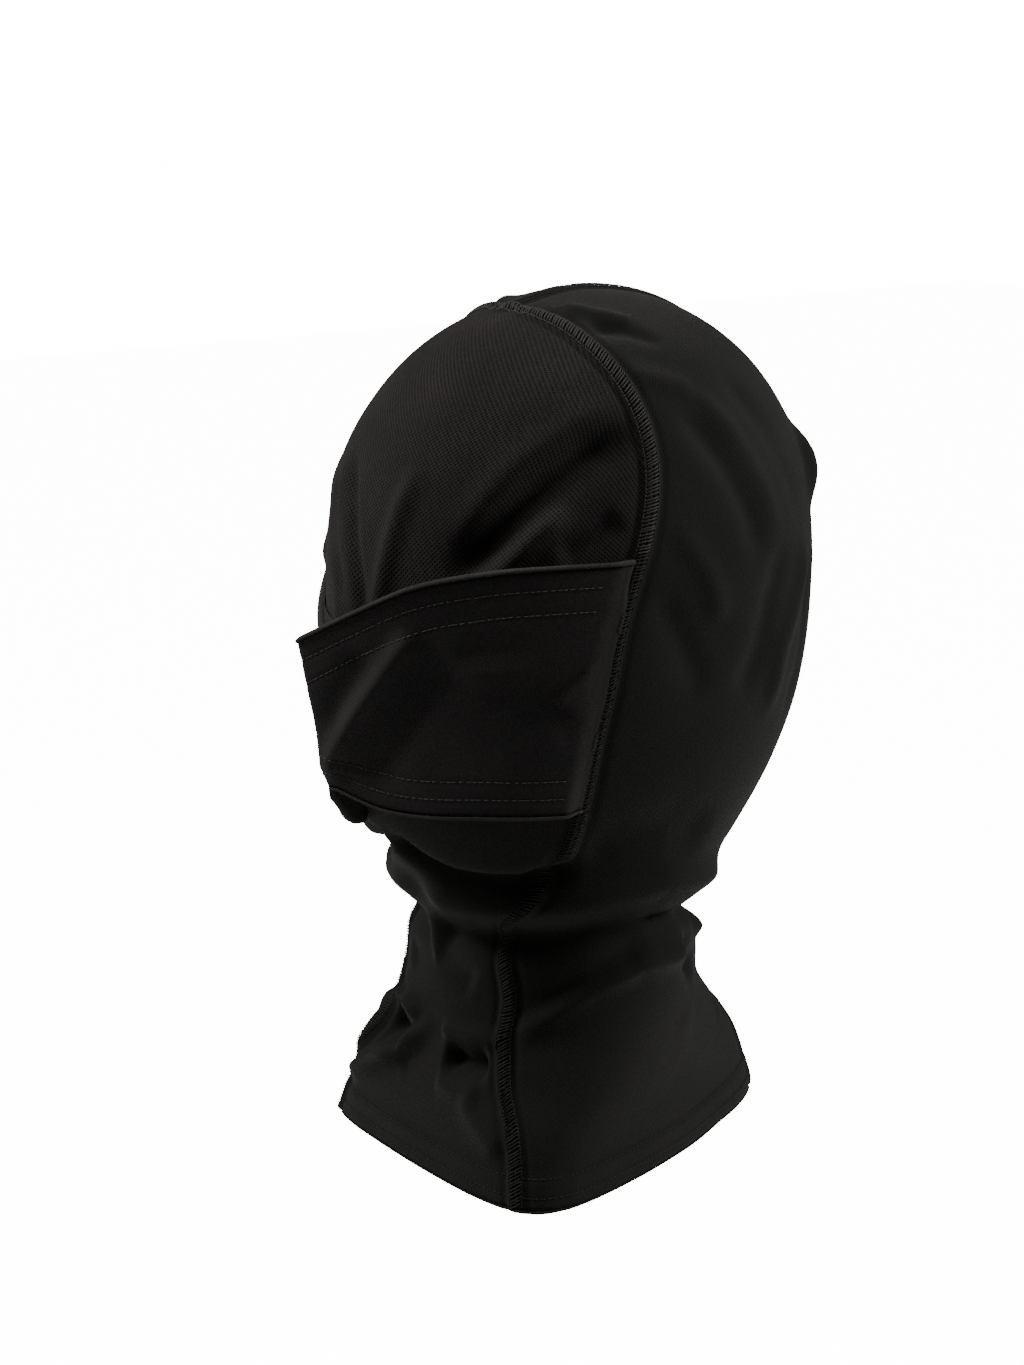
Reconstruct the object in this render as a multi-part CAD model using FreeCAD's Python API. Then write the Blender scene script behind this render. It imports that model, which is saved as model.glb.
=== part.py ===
"""Balaclava with a pull-down face mask, standing as it does on a head.

The hood faces -Y, +Z is up and +X is the wearer's left.  The origin is on the mid-plane, in the
middle of the head, level with the ears.  All sizes are in millimetres.
"""
import FreeCAD
import Part
import math
import os

# ---- cloth and thread -------------------------------------------------------------------------
CLOTH = 1.2             # thickness of the hood's jersey
MASK_CLOTH = 1.2        # thickness of the mask's jersey
SEAM_RISE = 0.5         # how far the flatlock threads stand above the cloth
SEAM_WIDTH = 6.0        # width of a flatlock seam
STITCH_RISE = 0.4       # how far a row of hem stitches stands above the cloth
STITCH_WIDTH = 0.8      # width of one row of stitches
FOLD = 1.0              # thickness of the turned-in layer of a hem
BINDING = 0.8           # thickness of the elastic binding round a cut edge
BINDING_WIDTH = 7.0     # how far the binding reaches over the cloth
LABEL = 0.4             # thickness of the blank care label

# ---- head, neck and skirt ---------------------------------------------------------------------
HEAD_FRONT = 88.0       # forehead, ahead of the origin
HEAD_BACK = 98.0        # back of the head
HEAD_HALF_WIDTH = 75.0  # widest place, above the ears
HEAD_WIDEST_Y = 6.0     # the widest place is this far behind the origin
HEAD_WIDEST_Z = 35.0    # height of the fullest section
HEAD_POWER = 2.15       # squareness of the head's sections
ELLIPSE_POWER = 2.0     # squareness of an ellipse, which the crown's sections come down to
CROWN_HEIGHT = 134.0    # where the head's curve would end; its top is cut flat just below
CROWN_RISE = 0.99       # share of the rise over the fullest section at which it is cut flat
CROWN_POWER_FRONT = 2.25
CROWN_POWER_BACK = 2.5
CROWN_POWER_SIDE = 2.2
NECK_FRONT = 57.0
NECK_BACK = 50.0
NECK_HALF_WIDTH = 53.0
NECK_Z = -100.0
NECK_POWER_FRONT = 2.1
NECK_POWER_BACK = 2.0
NECK_WIDEST_Y = 0.0
SKIRT_FRONT = 68.0
SKIRT_BACK = 93.0
SKIRT_HALF_WIDTH = 67.0
SKIRT_Z = -186.0
SKIRT_POWER_FRONT = 3.6     # squared corners at the front of the skirt
SKIRT_POWER_BACK = 1.3      # the back of the skirt runs to a rounded point
SKIRT_WIDEST_Y = -44.0
HEM_FRONT_Z = -182.0
HEM_BACK_Z = -188.0
HEM_SPARE = 20.0            # the hood is made this much longer and cut back to the hem

# Sections between the three driving ones: how far each lies from the lower driving section to the
# upper one (height, front, back, half width, front power, back power, place of the widest point).
JAW_BLENDS = (
    (0.165, 0.16, 0.10, 0.14, 0.33, 0.00, 0.33),
    (0.285, 0.55, 0.38, 0.36, 0.33, 0.40, 0.66),
    (0.480, 0.92, 0.73, 0.67, 0.33, 0.60, 1.00),
    (0.740, 1.00, 0.95, 0.90, 1.00, 1.00, 1.00),
)
SKIRT_BLENDS = (
    (0.30, 0.36, 0.24, 0.36, 0.27, 0.08, 0.23),
    (0.52, 0.73, 0.62, 0.71, 0.67, 0.43, 0.59),
    (0.73, 1.00, 0.94, 0.95, 0.93, 0.86, 0.86),
)

# ---- seams and edges, in side view (y, z) -----------------------------------------------------
SEAM_LINE = (
    (-36, 220), (-27, 160), (-25, 134), (-18, 124), (-12, 110), (-9.5, 94), (-11, 76), (-16, 58),
    (-22, 42), (-27, 24), (-30, 5), (-32.5, -12), (-34.5, -34), (-36, -54), (-41, -68),
    (-46, -79), (-47.5, -94), (-46, -114), (-49, -128), (-55, -150), (-60, -176), (-66, -215),
)
TEMPLE_Z = 52.0             # the crown seam ends and the side seams begin at this height
BROW_EDGE = ((0, 32), (-28, 26), (-60, 22), (-88, 14), (-130, 2))
CHIN_EDGE = ((0, 2), (-33, -10), (-60, -22), (-86, -28), (-130, -34))

# ---- face mask --------------------------------------------------------------------------------
MASK_GAP = 2.6              # gap between the hood and the mask where it is sewn in
MASK_REAR_Y = -12.0         # the mask's walls are made from here and cut back to its rear edge
MASK_CREASE_REACH = 20.1    # crease ahead of the forehead, at the height of the origin
MASK_CREASE_LEAN = 0.227    # the crease comes forward this much for each millimetre up
MASK_TOP = 49.0             # height of the mask at its rear corners
MASK_BOTTOM = -38.0
MASK_SPARE = 14.0           # the mask is made this much taller and cut back to its edges
# Plan shape of each wall: a cubic from the rear, pulled towards a cheek and a lip point.  Each is
# given as its distance in from the hood's widest place and back from its forehead.
CHEEK_TOP = (3.0, 25.0)
CHEEK_BOTTOM = (4.5, 26.0)
LIP_TOP = (37.0, -7.0)
LIP_BOTTOM = (37.0, 2.0)
MASK_TOP_EDGE = ((0, 49), (-25.4, 49), (-49.5, 49), (-69, 47.5), (-89, 41.8), (-102, 31.7),
                 (-112.6, 19.7), (-135, -8))
MASK_BOTTOM_EDGE = ((0, -38), (-42, -38), (-68, -38), (-89.5, -38.5), (-100.8, -32.4), (-135, -14))
MASK_REAR_EDGE = ((-22, 80), (-25.4, 49), (-31, 24), (-32, 3), (-36, -26), (-40, -38), (-48, -60))
MASK_EDGE_STRIP = 9.0       # width of the strip beside the seam that shears as the mask moves
MASK_ALLOWANCE = 3.0        # width of the turned-under allowance that the seam takes in
MASK_RUN_GAP = 0.4          # gap between that strip and the rest of the mask
MASK_HEM_DEPTH = 18.0
MASK_TOP_ROWS = (7.0, 15.5)     # rows of stitches, measured in from the mask's edges
MASK_BOTTOM_ROWS = (6.0, 12.5)

# ---- neck hem and label -----------------------------------------------------------------------
NECK_HEM_DEPTH = 13.0
NECK_ROWS = (4.0, 10.5)     # rows of stitches above the hem
LABEL_WIDTH = 30.0
LABEL_BOTTOM_Z = -160.0
LABEL_HEIGHT = 18.0

# The centre-back seam is made in four stretches, which meet here.
CENTRE_CROWN_Y = 50.0
CENTRE_HEAD_Z = 60.0
CENTRE_NAPE_Z = -60.0

REACH = 440.0               # longer than the whole object, for cutters
FAR = REACH / 2
SECTION_STEPS = 12          # curve points round half a section
EDGE_STEPS = 10             # curve points along one wall of the mask
CROWN_LEVELS = 5
MASK_LEVELS = 3


def mixed(low, high, share):
    """Value a given share of the way from low to high."""
    return low + (high - low) * share


def smooth_value(rows, height, column):
    """Value of one column at a height, on a smooth curve through the rows."""
    last = len(rows) - 1
    index = 0
    while index < last - 1 and height > rows[index + 1][0]:
        index += 1
    start, end = rows[index], rows[index + 1]
    span = end[0] - start[0]
    share = max(0.0, min(1.0, (height - start[0]) / span))
    before = rows[max(index - 1, 0)]
    after = rows[min(index + 2, last)]
    slope_in = (end[column] - before[column]) / (end[0] - before[0]) * span
    slope_out = (after[column] - start[column]) / (after[0] - start[0]) * span
    h01 = share * share * (3 - 2 * share)
    h10 = share * (1 - share) ** 2
    h11 = share * share * (share - 1)
    return start[column] * (1 - h01) + end[column] * h01 + slope_in * h10 + slope_out * h11


def hood_rows():
    """Sections of the hood from the skirt to the fullest part of the head."""
    skirt = (SKIRT_Z, -SKIRT_FRONT, SKIRT_BACK, SKIRT_HALF_WIDTH, SKIRT_POWER_FRONT,
             SKIRT_POWER_BACK, SKIRT_WIDEST_Y)
    neck = (NECK_Z, -NECK_FRONT, NECK_BACK, NECK_HALF_WIDTH, NECK_POWER_FRONT, NECK_POWER_BACK,
            NECK_WIDEST_Y)
    head = (HEAD_WIDEST_Z, -HEAD_FRONT, HEAD_BACK, HEAD_HALF_WIDTH, HEAD_POWER, HEAD_POWER,
            HEAD_WIDEST_Y)
    rows = [skirt]
    for shares in SKIRT_BLENDS:
        rows.append(tuple(mixed(a, b, s) for a, b, s in zip(skirt, neck, shares)))
    rows.append(neck)
    for shares in JAW_BLENDS:
        rows.append(tuple(mixed(a, b, s) for a, b, s in zip(neck, head, shares)))
    rows.append(head)
    return rows


HOOD_ROWS = hood_rows()


def hood_section(height, inset):
    """Front, back, half width, two powers and widest place of the hood at a height."""
    if height <= HEAD_WIDEST_Z:
        values = [smooth_value(HOOD_ROWS, height, column) for column in range(1, 7)]
        front, back, half, power_front, power_back, widest = values
    else:
        top = CROWN_HEIGHT - inset
        rise = min(1.0, (height - HEAD_WIDEST_Z) / (top - HEAD_WIDEST_Z))
        widest = HEAD_WIDEST_Y
        front = widest - (HEAD_FRONT + widest) * math.sqrt(1 - rise ** CROWN_POWER_FRONT)
        back = widest + (HEAD_BACK - widest) * math.sqrt(1 - rise ** CROWN_POWER_BACK)
        half = HEAD_HALF_WIDTH * math.sqrt(1 - rise ** CROWN_POWER_SIDE)
        power_front = mixed(HEAD_POWER, ELLIPSE_POWER, rise)
        power_back = power_front
        share = math.sqrt(1 - rise ** 2)
        return (front + inset * share, back - inset * share, half - inset * share, power_front,
                power_back, widest)
    return front + inset, back - inset, half - inset, power_front, power_back, widest


def hood_point(angle, height, inset):
    """Point of the hood at an angle round it, with 0 at the wearer's left and 90 at the front."""
    front, back, half, power_front, power_back, widest = hood_section(height, inset)
    across, ahead = math.cos(angle), math.sin(angle)
    power = power_front if ahead > 0 else power_back
    reach = widest - front if ahead > 0 else back - widest
    x = half * math.copysign(abs(across) ** (2 / power), across)
    y = widest - reach * math.copysign(abs(ahead) ** (2 / power), ahead)
    return FreeCAD.Vector(x, y, height)


def hood_half_width(y, height):
    """Half width of the hood's outer face at a place and height."""
    front, back, half, power_front, power_back, widest = hood_section(height, 0.0)
    power = power_front if y < widest else power_back
    reach = widest - front if y < widest else back - widest
    return half * (1 - (abs(y - widest) / reach) ** power) ** (1 / power)


def hood_wire(height, inset):
    """Left half of a section of the hood: its curve and the line on the mid-plane."""
    points = [hood_point(math.pi / 2 - math.pi * k / SECTION_STEPS, height, inset)
              for k in range(SECTION_STEPS + 1)]
    points[0].x = 0.0
    points[-1].x = 0.0
    curve = Part.BSplineCurve()
    curve.interpolate(Points=points, InitialTangent=FreeCAD.Vector(1, 0, 0),
                      FinalTangent=FreeCAD.Vector(-1, 0, 0))
    return Part.Wire([curve.toShape(), Part.LineSegment(points[-1], points[0]).toShape()])


def half_hood(inset):
    """Left half of the hood's shape, smaller by the inset, with its lower end left long."""
    heights = [SKIRT_Z - HEM_SPARE] + [row[0] for row in HOOD_ROWS]
    top = CROWN_HEIGHT - inset
    for level in range(1, CROWN_LEVELS + 1):
        share = math.sin(math.asin(CROWN_RISE) * level / CROWN_LEVELS)
        heights.append(mixed(HEAD_WIDEST_Z, top, share))
    return Part.makeLoft([hood_wire(height, inset) for height in heights], True, False)


def mirrored(shape):
    """The same shape on the wearer's right."""
    return shape.mirror(FreeCAD.Vector(0, 0, 0), FreeCAD.Vector(1, 0, 0))


def whole(half):
    """Both halves of a piece that crosses the mid-plane, as one piece."""
    return half.fuse(mirrored(half)).removeSplitter()


def side_curve(line):
    """Smooth curve through (y, z) points, in the plane of a cutter's left face."""
    curve = Part.BSplineCurve()
    curve.interpolate([FreeCAD.Vector(-FAR, y, z) for y, z in line])
    return curve


def shifted_line(line, distance):
    """The line moved sideways, to the left of its own direction in side view."""
    moved = []
    for index, (y, z) in enumerate(line):
        before = line[max(index - 1, 0)]
        after = line[min(index + 1, len(line) - 1)]
        dy, dz = after[0] - before[0], after[1] - before[1]
        length = math.hypot(dy, dz)
        moved.append((y - dz / length * distance, z + dy / length * distance))
    return moved


def prism(edges):
    """Solid across the whole width from edges that close a loop in side view."""
    face = Part.Face(Part.Wire(edges))
    return face.extrude(FreeCAD.Vector(REACH, 0, 0))


def side_of(line, far):
    """Cutter between a line and a far corner pair, each corner a (y, z)."""
    curve = side_curve(line)
    ends = [FreeCAD.Vector(-FAR, y, z) for y, z in far]
    first, last = curve.StartPoint, curve.EndPoint
    stops = [last] + ends + [first]
    edges = [curve.toShape()]
    for start, end in zip(stops, stops[1:]):
        edges.append(Part.LineSegment(start, end).toShape())
    return prism(edges)


def strip_between(line_a, line_b):
    """Cutter between two lines that run the same way."""
    curve_a, curve_b = side_curve(line_a), side_curve(line_b)
    edges = [
        curve_a.toShape(),
        Part.LineSegment(curve_a.EndPoint, curve_b.EndPoint).toShape(),
        curve_b.toShape(),
        Part.LineSegment(curve_b.StartPoint, curve_a.StartPoint).toShape(),
    ]
    return prism(Part.__sortEdges__(edges))


def block(x_low, x_high, y_low, y_high, z_low, z_high):
    """Box from its limits."""
    return Part.makeBox(x_high - x_low, y_high - y_low, z_high - z_low,
                        FreeCAD.Vector(x_low, y_low, z_low))


def hem_line(above):
    """Line parallel to the neck hem, a distance above it."""
    slope = (HEM_BACK_Z - HEM_FRONT_Z) / (SKIRT_BACK + SKIRT_FRONT)
    return ((-FAR, HEM_FRONT_Z + slope * (SKIRT_FRONT - FAR) + above),
            (FAR, HEM_FRONT_Z + slope * (SKIRT_FRONT + FAR) + above))


def above_hem(distance):
    """Cutter for everything over a line parallel to the neck hem."""
    (front_y, front_z), (back_y, back_z) = hem_line(distance)
    corners = [(front_y, front_z), (back_y, back_z), (back_y, FAR), (front_y, FAR)]
    points = [FreeCAD.Vector(-FAR, y, z) for y, z in corners]
    return prism(Part.makePolygon(points + points[:1]).Edges)


def hem_band(low, high):
    """Cutter for the band between two distances above the neck hem."""
    return above_hem(low).cut(above_hem(high))


# ---- cutters shared by the hood's pieces ------------------------------------------------------
AHEAD_CORNERS = ((-FAR, -FAR), (-FAR, FAR))
CENTRE_STRETCHES = (
    (-FAR, CENTRE_CROWN_Y, CENTRE_HEAD_Z, FAR),
    (CENTRE_CROWN_Y, FAR, CENTRE_HEAD_Z, FAR),
    (0, FAR, CENTRE_NAPE_Z, CENTRE_HEAD_Z),
    (0, FAR, -FAR, CENTRE_NAPE_Z),
)
SEAM_FRONT_LINE = shifted_line(SEAM_LINE, -SEAM_WIDTH / 2)
SEAM_BACK_LINE = shifted_line(SEAM_LINE, SEAM_WIDTH / 2)
AHEAD_OF_SEAM = side_of(SEAM_LINE, AHEAD_CORNERS)
SEAM_BAND = strip_between(SEAM_FRONT_LINE, SEAM_BACK_LINE)
AHEAD_OF_BAND = side_of(SEAM_FRONT_LINE, AHEAD_CORNERS)
AHEAD_OF_BAND_BACK = side_of(SEAM_BACK_LINE, AHEAD_CORNERS)
ABOVE_HEM = above_hem(0)


def over_line(line):
    """Cutter for everything over a line that runs from back to front."""
    return side_of(line, ((line[-1][0], FAR), (line[0][0], FAR)))


def under_line(line):
    """Cutter for everything under a line that runs from back to front."""
    return side_of(line, ((line[-1][0], -FAR), (line[0][0], -FAR)))


def edge_band(line, low, high):
    """Cutter for the band between two distances over a back-to-front line."""
    return strip_between(shifted_line(line, -low), shifted_line(line, -high))


def build_hood():
    """The hood's panels, flatlock seams, bindings, neck hem and label."""
    outer = half_hood(0.0)
    inner = half_hood(CLOTH)
    shell = outer.cut(inner).common(ABOVE_HEM)
    seam_layer = half_hood(-SEAM_RISE).cut(outer).common(ABOVE_HEM)
    front = shell.common(AHEAD_OF_SEAM)
    forehead = front.common(over_line(BROW_EDGE))
    throat = front.common(under_line(CHIN_EDGE))
    rear = shell.cut(AHEAD_OF_SEAM)
    seams = seam_layer.common(SEAM_BAND)
    over_temple = block(-FAR, FAR, -FAR, FAR, TEMPLE_Z, FAR)
    side_seam = seams.cut(over_temple)
    middle = block(-SEAM_WIDTH / 2, SEAM_WIDTH / 2, -FAR, FAR, -FAR, FAR)

    behind_band = seam_layer.cut(AHEAD_OF_BAND_BACK)
    stretches = []
    for y_low, y_high, z_low, z_high in CENTRE_STRETCHES:
        zone = block(-SEAM_WIDTH / 2, SEAM_WIDTH / 2, y_low, y_high, z_low, z_high)
        stretches.append(whole(behind_band.common(zone)))

    wrap = half_hood(-BINDING).cut(half_hood(CLOTH + BINDING)).common(AHEAD_OF_BAND)
    brow_zone = wrap.common(edge_band(BROW_EDGE, -BINDING, BINDING_WIDTH))
    chin_zone = wrap.common(edge_band(CHIN_EDGE, -BINDING_WIDTH, BINDING))

    fold_layer = inner.cut(half_hood(CLOTH + FOLD)).common(hem_band(0, NECK_HEM_DEPTH))
    rear_fold = fold_layer.cut(AHEAD_OF_SEAM)
    stitch_layer = half_hood(-STITCH_RISE).cut(outer)
    half_row = STITCH_WIDTH / 2
    rows = [stitch_layer.common(hem_band(row - half_row, row + half_row)) for row in NECK_ROWS]
    front_rows = Part.makeCompound([whole(row.common(AHEAD_OF_BAND)) for row in rows])
    rear_rows = Part.makeCompound([row.cut(AHEAD_OF_BAND_BACK).cut(middle) for row in rows])

    label_zone = block(-LABEL_WIDTH / 2, LABEL_WIDTH / 2, 0, FAR, LABEL_BOTTOM_Z,
                       LABEL_BOTTOM_Z + LABEL_HEIGHT)
    label = inner.cut(half_hood(CLOTH + LABEL)).common(label_zone)
    return {
        "forehead_panel": whole(forehead),
        "throat_panel": whole(throat),
        "rear_panel_left": rear,
        "rear_panel_right": mirrored(rear),
        "crown_seam": whole(seams.common(over_temple)),
        "side_seam_left": side_seam,
        "side_seam_right": mirrored(side_seam),
        "centre_back_seam": Part.makeCompound(stretches),
        "brow_binding": whole(brow_zone.cut(forehead)),
        "chin_binding": whole(chin_zone.cut(throat)),
        "neck_hem_front": whole(fold_layer.common(AHEAD_OF_SEAM)),
        "neck_hem_rear_left": rear_fold,
        "neck_hem_rear_right": mirrored(rear_fold),
        "neck_stitching_front": front_rows,
        "neck_stitching_rear_left": rear_rows,
        "neck_stitching_rear_right": mirrored(rear_rows),
        "care_label": whole(label),
    }


def mask_outline(height, inset):
    """Corner and curve points of one mask wall in plan, from the rear to the crease."""
    share = (height - MASK_BOTTOM) / (MASK_TOP - MASK_BOTTOM)
    rear_x = hood_half_width(MASK_REAR_Y, height) + MASK_GAP + MASK_CLOTH
    rear = (rear_x, MASK_REAR_Y)
    cheek, lip = (
        (HEAD_HALF_WIDTH - mixed(low[0], high[0], share), mixed(low[1], high[1], share) - HEAD_FRONT)
        for low, high in ((CHEEK_BOTTOM, CHEEK_TOP), (LIP_BOTTOM, LIP_TOP))
    )
    crease = (0.0, -HEAD_FRONT - MASK_CREASE_REACH - MASK_CREASE_LEAN * height)
    points = []
    for step in range(EDGE_STEPS + 1):
        t = step / EDGE_STEPS
        weights = ((1 - t) ** 3, 3 * t * (1 - t) ** 2, 3 * t * t * (1 - t), t ** 3)
        slopes = (-3 * (1 - t) ** 2, 3 * (1 - t) ** 2 - 6 * t * (1 - t), 6 * t * (1 - t) - 3 * t * t,
                  3 * t * t)
        corners = (rear, cheek, lip, crease)
        x = sum(w * c[0] for w, c in zip(weights, corners))
        y = sum(w * c[1] for w, c in zip(weights, corners))
        dx = sum(s * c[0] for s, c in zip(slopes, corners))
        dy = sum(s * c[1] for s, c in zip(slopes, corners))
        length = math.hypot(dx, dy)
        points.append([x + dy / length * inset, y - dx / length * inset])
    (x0, y0), (x1, y1) = points[-2], points[-1]
    points[-1] = [0.0, y1 + (y1 - y0) / (x1 - x0) * (0.0 - x1)]
    return points


def mask_wire(height, inset):
    """Left half of the mask's plan: its curved wall and two straight lines inside."""
    wall = [FreeCAD.Vector(x, y, height) for x, y in mask_outline(height, inset)]
    middle = FreeCAD.Vector(0, MASK_REAR_Y, height)
    curve = Part.BSplineCurve()
    curve.interpolate(wall)
    return Part.Wire([
        curve.toShape(),
        Part.LineSegment(wall[-1], middle).toShape(),
        Part.LineSegment(middle, wall[0]).toShape(),
    ])


def half_mask(inset):
    """Left half of the block inside the mask's wall, smaller by the inset, and left tall."""
    low, high = MASK_BOTTOM - MASK_SPARE, MASK_TOP + MASK_SPARE
    wires = [mask_wire(mixed(low, high, k / MASK_LEVELS), inset) for k in range(MASK_LEVELS + 1)]
    return Part.makeLoft(wires, True, False)


def build_mask(hood):
    """The face mask with its hems and stitching, and the strips that join it to the seams."""
    outer = half_mask(0.0)
    inner = half_mask(MASK_CLOTH)
    between = under_line(MASK_TOP_EDGE).common(over_line(MASK_BOTTOM_EDGE))
    shell = outer.cut(inner).common(between)
    strip_front = shifted_line(MASK_REAR_EDGE, -MASK_EDGE_STRIP)
    panel_rear = shifted_line(MASK_REAR_EDGE, -MASK_EDGE_STRIP - MASK_RUN_GAP)
    ahead = side_of(panel_rear, AHEAD_CORNERS)
    allowance_front = shifted_line(MASK_REAR_EDGE, -MASK_ALLOWANCE)
    allowance = inner.cut(half_hood(-SEAM_RISE)).common(between).common(AHEAD_OF_SEAM)
    allowance = allowance.cut(side_of(allowance_front, AHEAD_CORNERS))
    allowance = allowance.cut(hood["brow_binding"]).cut(hood["chin_binding"])
    strip = shell.common(strip_between(MASK_REAR_EDGE, strip_front)).fuse(allowance).removeSplitter()

    turned = inner.cut(half_mask(MASK_CLOTH + FOLD)).common(ahead)
    top_hem = turned.common(edge_band(MASK_TOP_EDGE, -MASK_HEM_DEPTH, 0))
    bottom_hem = turned.common(edge_band(MASK_BOTTOM_EDGE, 0, MASK_HEM_DEPTH))
    layer = half_mask(-STITCH_RISE).cut(outer).common(ahead)
    half = STITCH_WIDTH / 2
    top = [layer.common(edge_band(MASK_TOP_EDGE, -row - half, -row + half)) for row in MASK_TOP_ROWS]
    bottom = [layer.common(edge_band(MASK_BOTTOM_EDGE, row - half, row + half)) for row in MASK_BOTTOM_ROWS]
    return {
        "mask_panel": whole(shell.common(ahead)),
        "mask_edge_left": strip,
        "mask_edge_right": mirrored(strip),
        "mask_top_hem": whole(top_hem),
        "mask_bottom_hem": whole(bottom_hem),
        "mask_top_stitching": Part.makeCompound([whole(row) for row in top]),
        "mask_bottom_stitching": Part.makeCompound([whole(row) for row in bottom]),
    }


def export(parts):
    """Write each part as its own STEP file, its solids kept separate."""
    os.makedirs("parts", exist_ok=True)
    for name, shape in parts.items():
        solids = shape.Solids
        kept = solids[0] if len(solids) == 1 else Part.makeCompound(solids)
        kept.exportStep(f"parts/{name}.step")
        box = kept.optimalBoundingBox(False)
        print(f"{name:28s} solids {len(solids)} valid {kept.isValid()} volume {kept.Volume:9.1f} "
              f"x {box.XMin:7.1f} {box.XMax:7.1f} y {box.YMin:7.1f} {box.YMax:7.1f} "
              f"z {box.ZMin:7.1f} {box.ZMax:7.1f}")


HOOD = build_hood()
export({**HOOD, **build_mask(HOOD)})
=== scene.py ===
"""Looks of a black knitted balaclava with a pull-down face mask.

Lengths inside the classes are in millimetres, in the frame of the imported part: the face looks
along -Y, +Z is up and +X is the wearer's left.  They become metres when a mesh is made.
"""
import logging
import math
from dataclasses import dataclass
from enum import Enum
from typing import Callable, Sequence

import bpy
import numpy as np
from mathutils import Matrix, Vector
from mathutils.bvhtree import BVHTree


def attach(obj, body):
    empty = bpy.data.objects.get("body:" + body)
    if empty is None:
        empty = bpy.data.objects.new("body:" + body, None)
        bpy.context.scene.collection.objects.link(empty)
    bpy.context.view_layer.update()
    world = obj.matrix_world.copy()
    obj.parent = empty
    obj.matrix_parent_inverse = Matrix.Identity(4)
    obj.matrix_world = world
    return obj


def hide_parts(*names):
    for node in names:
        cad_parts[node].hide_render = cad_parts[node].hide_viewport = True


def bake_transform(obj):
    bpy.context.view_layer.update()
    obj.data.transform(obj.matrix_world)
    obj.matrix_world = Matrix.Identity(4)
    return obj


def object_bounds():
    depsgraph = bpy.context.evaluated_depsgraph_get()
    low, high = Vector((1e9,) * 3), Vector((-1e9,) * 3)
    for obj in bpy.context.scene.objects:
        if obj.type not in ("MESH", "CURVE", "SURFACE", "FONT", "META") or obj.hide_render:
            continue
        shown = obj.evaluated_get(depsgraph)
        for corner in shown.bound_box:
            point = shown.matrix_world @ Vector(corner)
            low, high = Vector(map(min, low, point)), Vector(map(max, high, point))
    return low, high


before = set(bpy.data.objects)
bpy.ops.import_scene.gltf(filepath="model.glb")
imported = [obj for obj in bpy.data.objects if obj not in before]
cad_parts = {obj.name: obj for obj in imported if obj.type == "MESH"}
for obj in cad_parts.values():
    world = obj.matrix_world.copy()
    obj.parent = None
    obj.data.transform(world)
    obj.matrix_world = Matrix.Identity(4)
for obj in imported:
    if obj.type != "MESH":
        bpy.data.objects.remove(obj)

CAD_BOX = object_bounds()
MM = 0.001
LOG = logging.getLogger("balaclava")
Array = np.ndarray
Line = Sequence[tuple[float, float]]
Path = Sequence[tuple[float, float, float]]


class Side(Enum):
    """Which side of the wearer a piece is on."""

    LEFT = 1
    RIGHT = -1


class Knit(Enum):
    """How a jersey is knitted."""

    PLAIN = "plain"
    EYELET = "eyelet"


# ---------------------------------------------------------------------------------------------
# Small geometry helpers
# ---------------------------------------------------------------------------------------------


def smooth_step(value: Array) -> Array:
    """Ease from 0 to 1 as the value goes from 0 to 1."""
    share = np.clip(value, 0.0, 1.0)
    return share * share * (3.0 - 2.0 * share)


def smooth_curve(at: Array, known_at: Array, known: Array) -> Array:
    """Read a smooth curve through known values.

    Args:
        at: Where to read the curve.
        known_at: Rising places of the known values.
        known: The known values.

    Returns:
        The curve's values at each place.
    """
    place = np.asarray(at, float)
    index = np.clip(np.searchsorted(known_at, place) - 1, 0, len(known_at) - 2)
    span = known_at[index + 1] - known_at[index]
    share = np.clip((place - known_at[index]) / span, 0.0, 1.0)
    before = np.maximum(index - 1, 0)
    after = np.minimum(index + 2, len(known_at) - 1)
    slope_in = (known[index + 1] - known[before]) / (known_at[index + 1] - known_at[before]) * span
    slope_out = (known[after] - known[index]) / (known_at[after] - known_at[index]) * span
    blend = share * share * (3 - 2 * share)
    bend_in = share * (1 - share) ** 2
    bend_out = share * share * (share - 1)
    return known[index] * (1 - blend) + known[index + 1] * blend + slope_in * bend_in + slope_out * bend_out


def read_line(line: Line, places: Array) -> Array:
    """Second coordinate of a side-view line at given first coordinates."""
    ordered = sorted(line)
    return smooth_curve(places, np.array([p[0] for p in ordered], float),
                        np.array([p[1] for p in ordered], float))


def unit(vectors: Array) -> Array:
    """Vectors scaled to length 1."""
    return vectors / np.maximum(np.linalg.norm(vectors, axis=-1, keepdims=True), 1e-9)


def grid_normals(points: Array) -> Array:
    """Normals of a grid of points, from its rows and columns."""
    return unit(np.cross(np.gradient(points, axis=1), np.gradient(points, axis=0)))


def travel(line: Array) -> Array:
    """Distance of each point of a line from its start, along the line."""
    return np.concatenate([[0.0], np.cumsum(np.linalg.norm(np.diff(line, axis=0), axis=1))])


def row_travel(grid: Array) -> Array:
    """Mean distance of each row of a grid from its first row."""
    return np.concatenate([[0.0], np.cumsum(np.linalg.norm(np.diff(grid, axis=0), axis=2).mean(1))])


def evenly(points: Array, count: int) -> tuple[Array, Array]:
    """Space a line's points evenly along it.

    Args:
        points: Points of the line, in order.
        count: How many points to return.

    Returns:
        The evenly spaced points, and their distance along the line.
    """
    along = travel(points)
    wanted = np.linspace(0.0, along[-1], count)
    return np.stack([np.interp(wanted, along, points[:, k]) for k in range(points.shape[1])], 1), wanted


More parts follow.
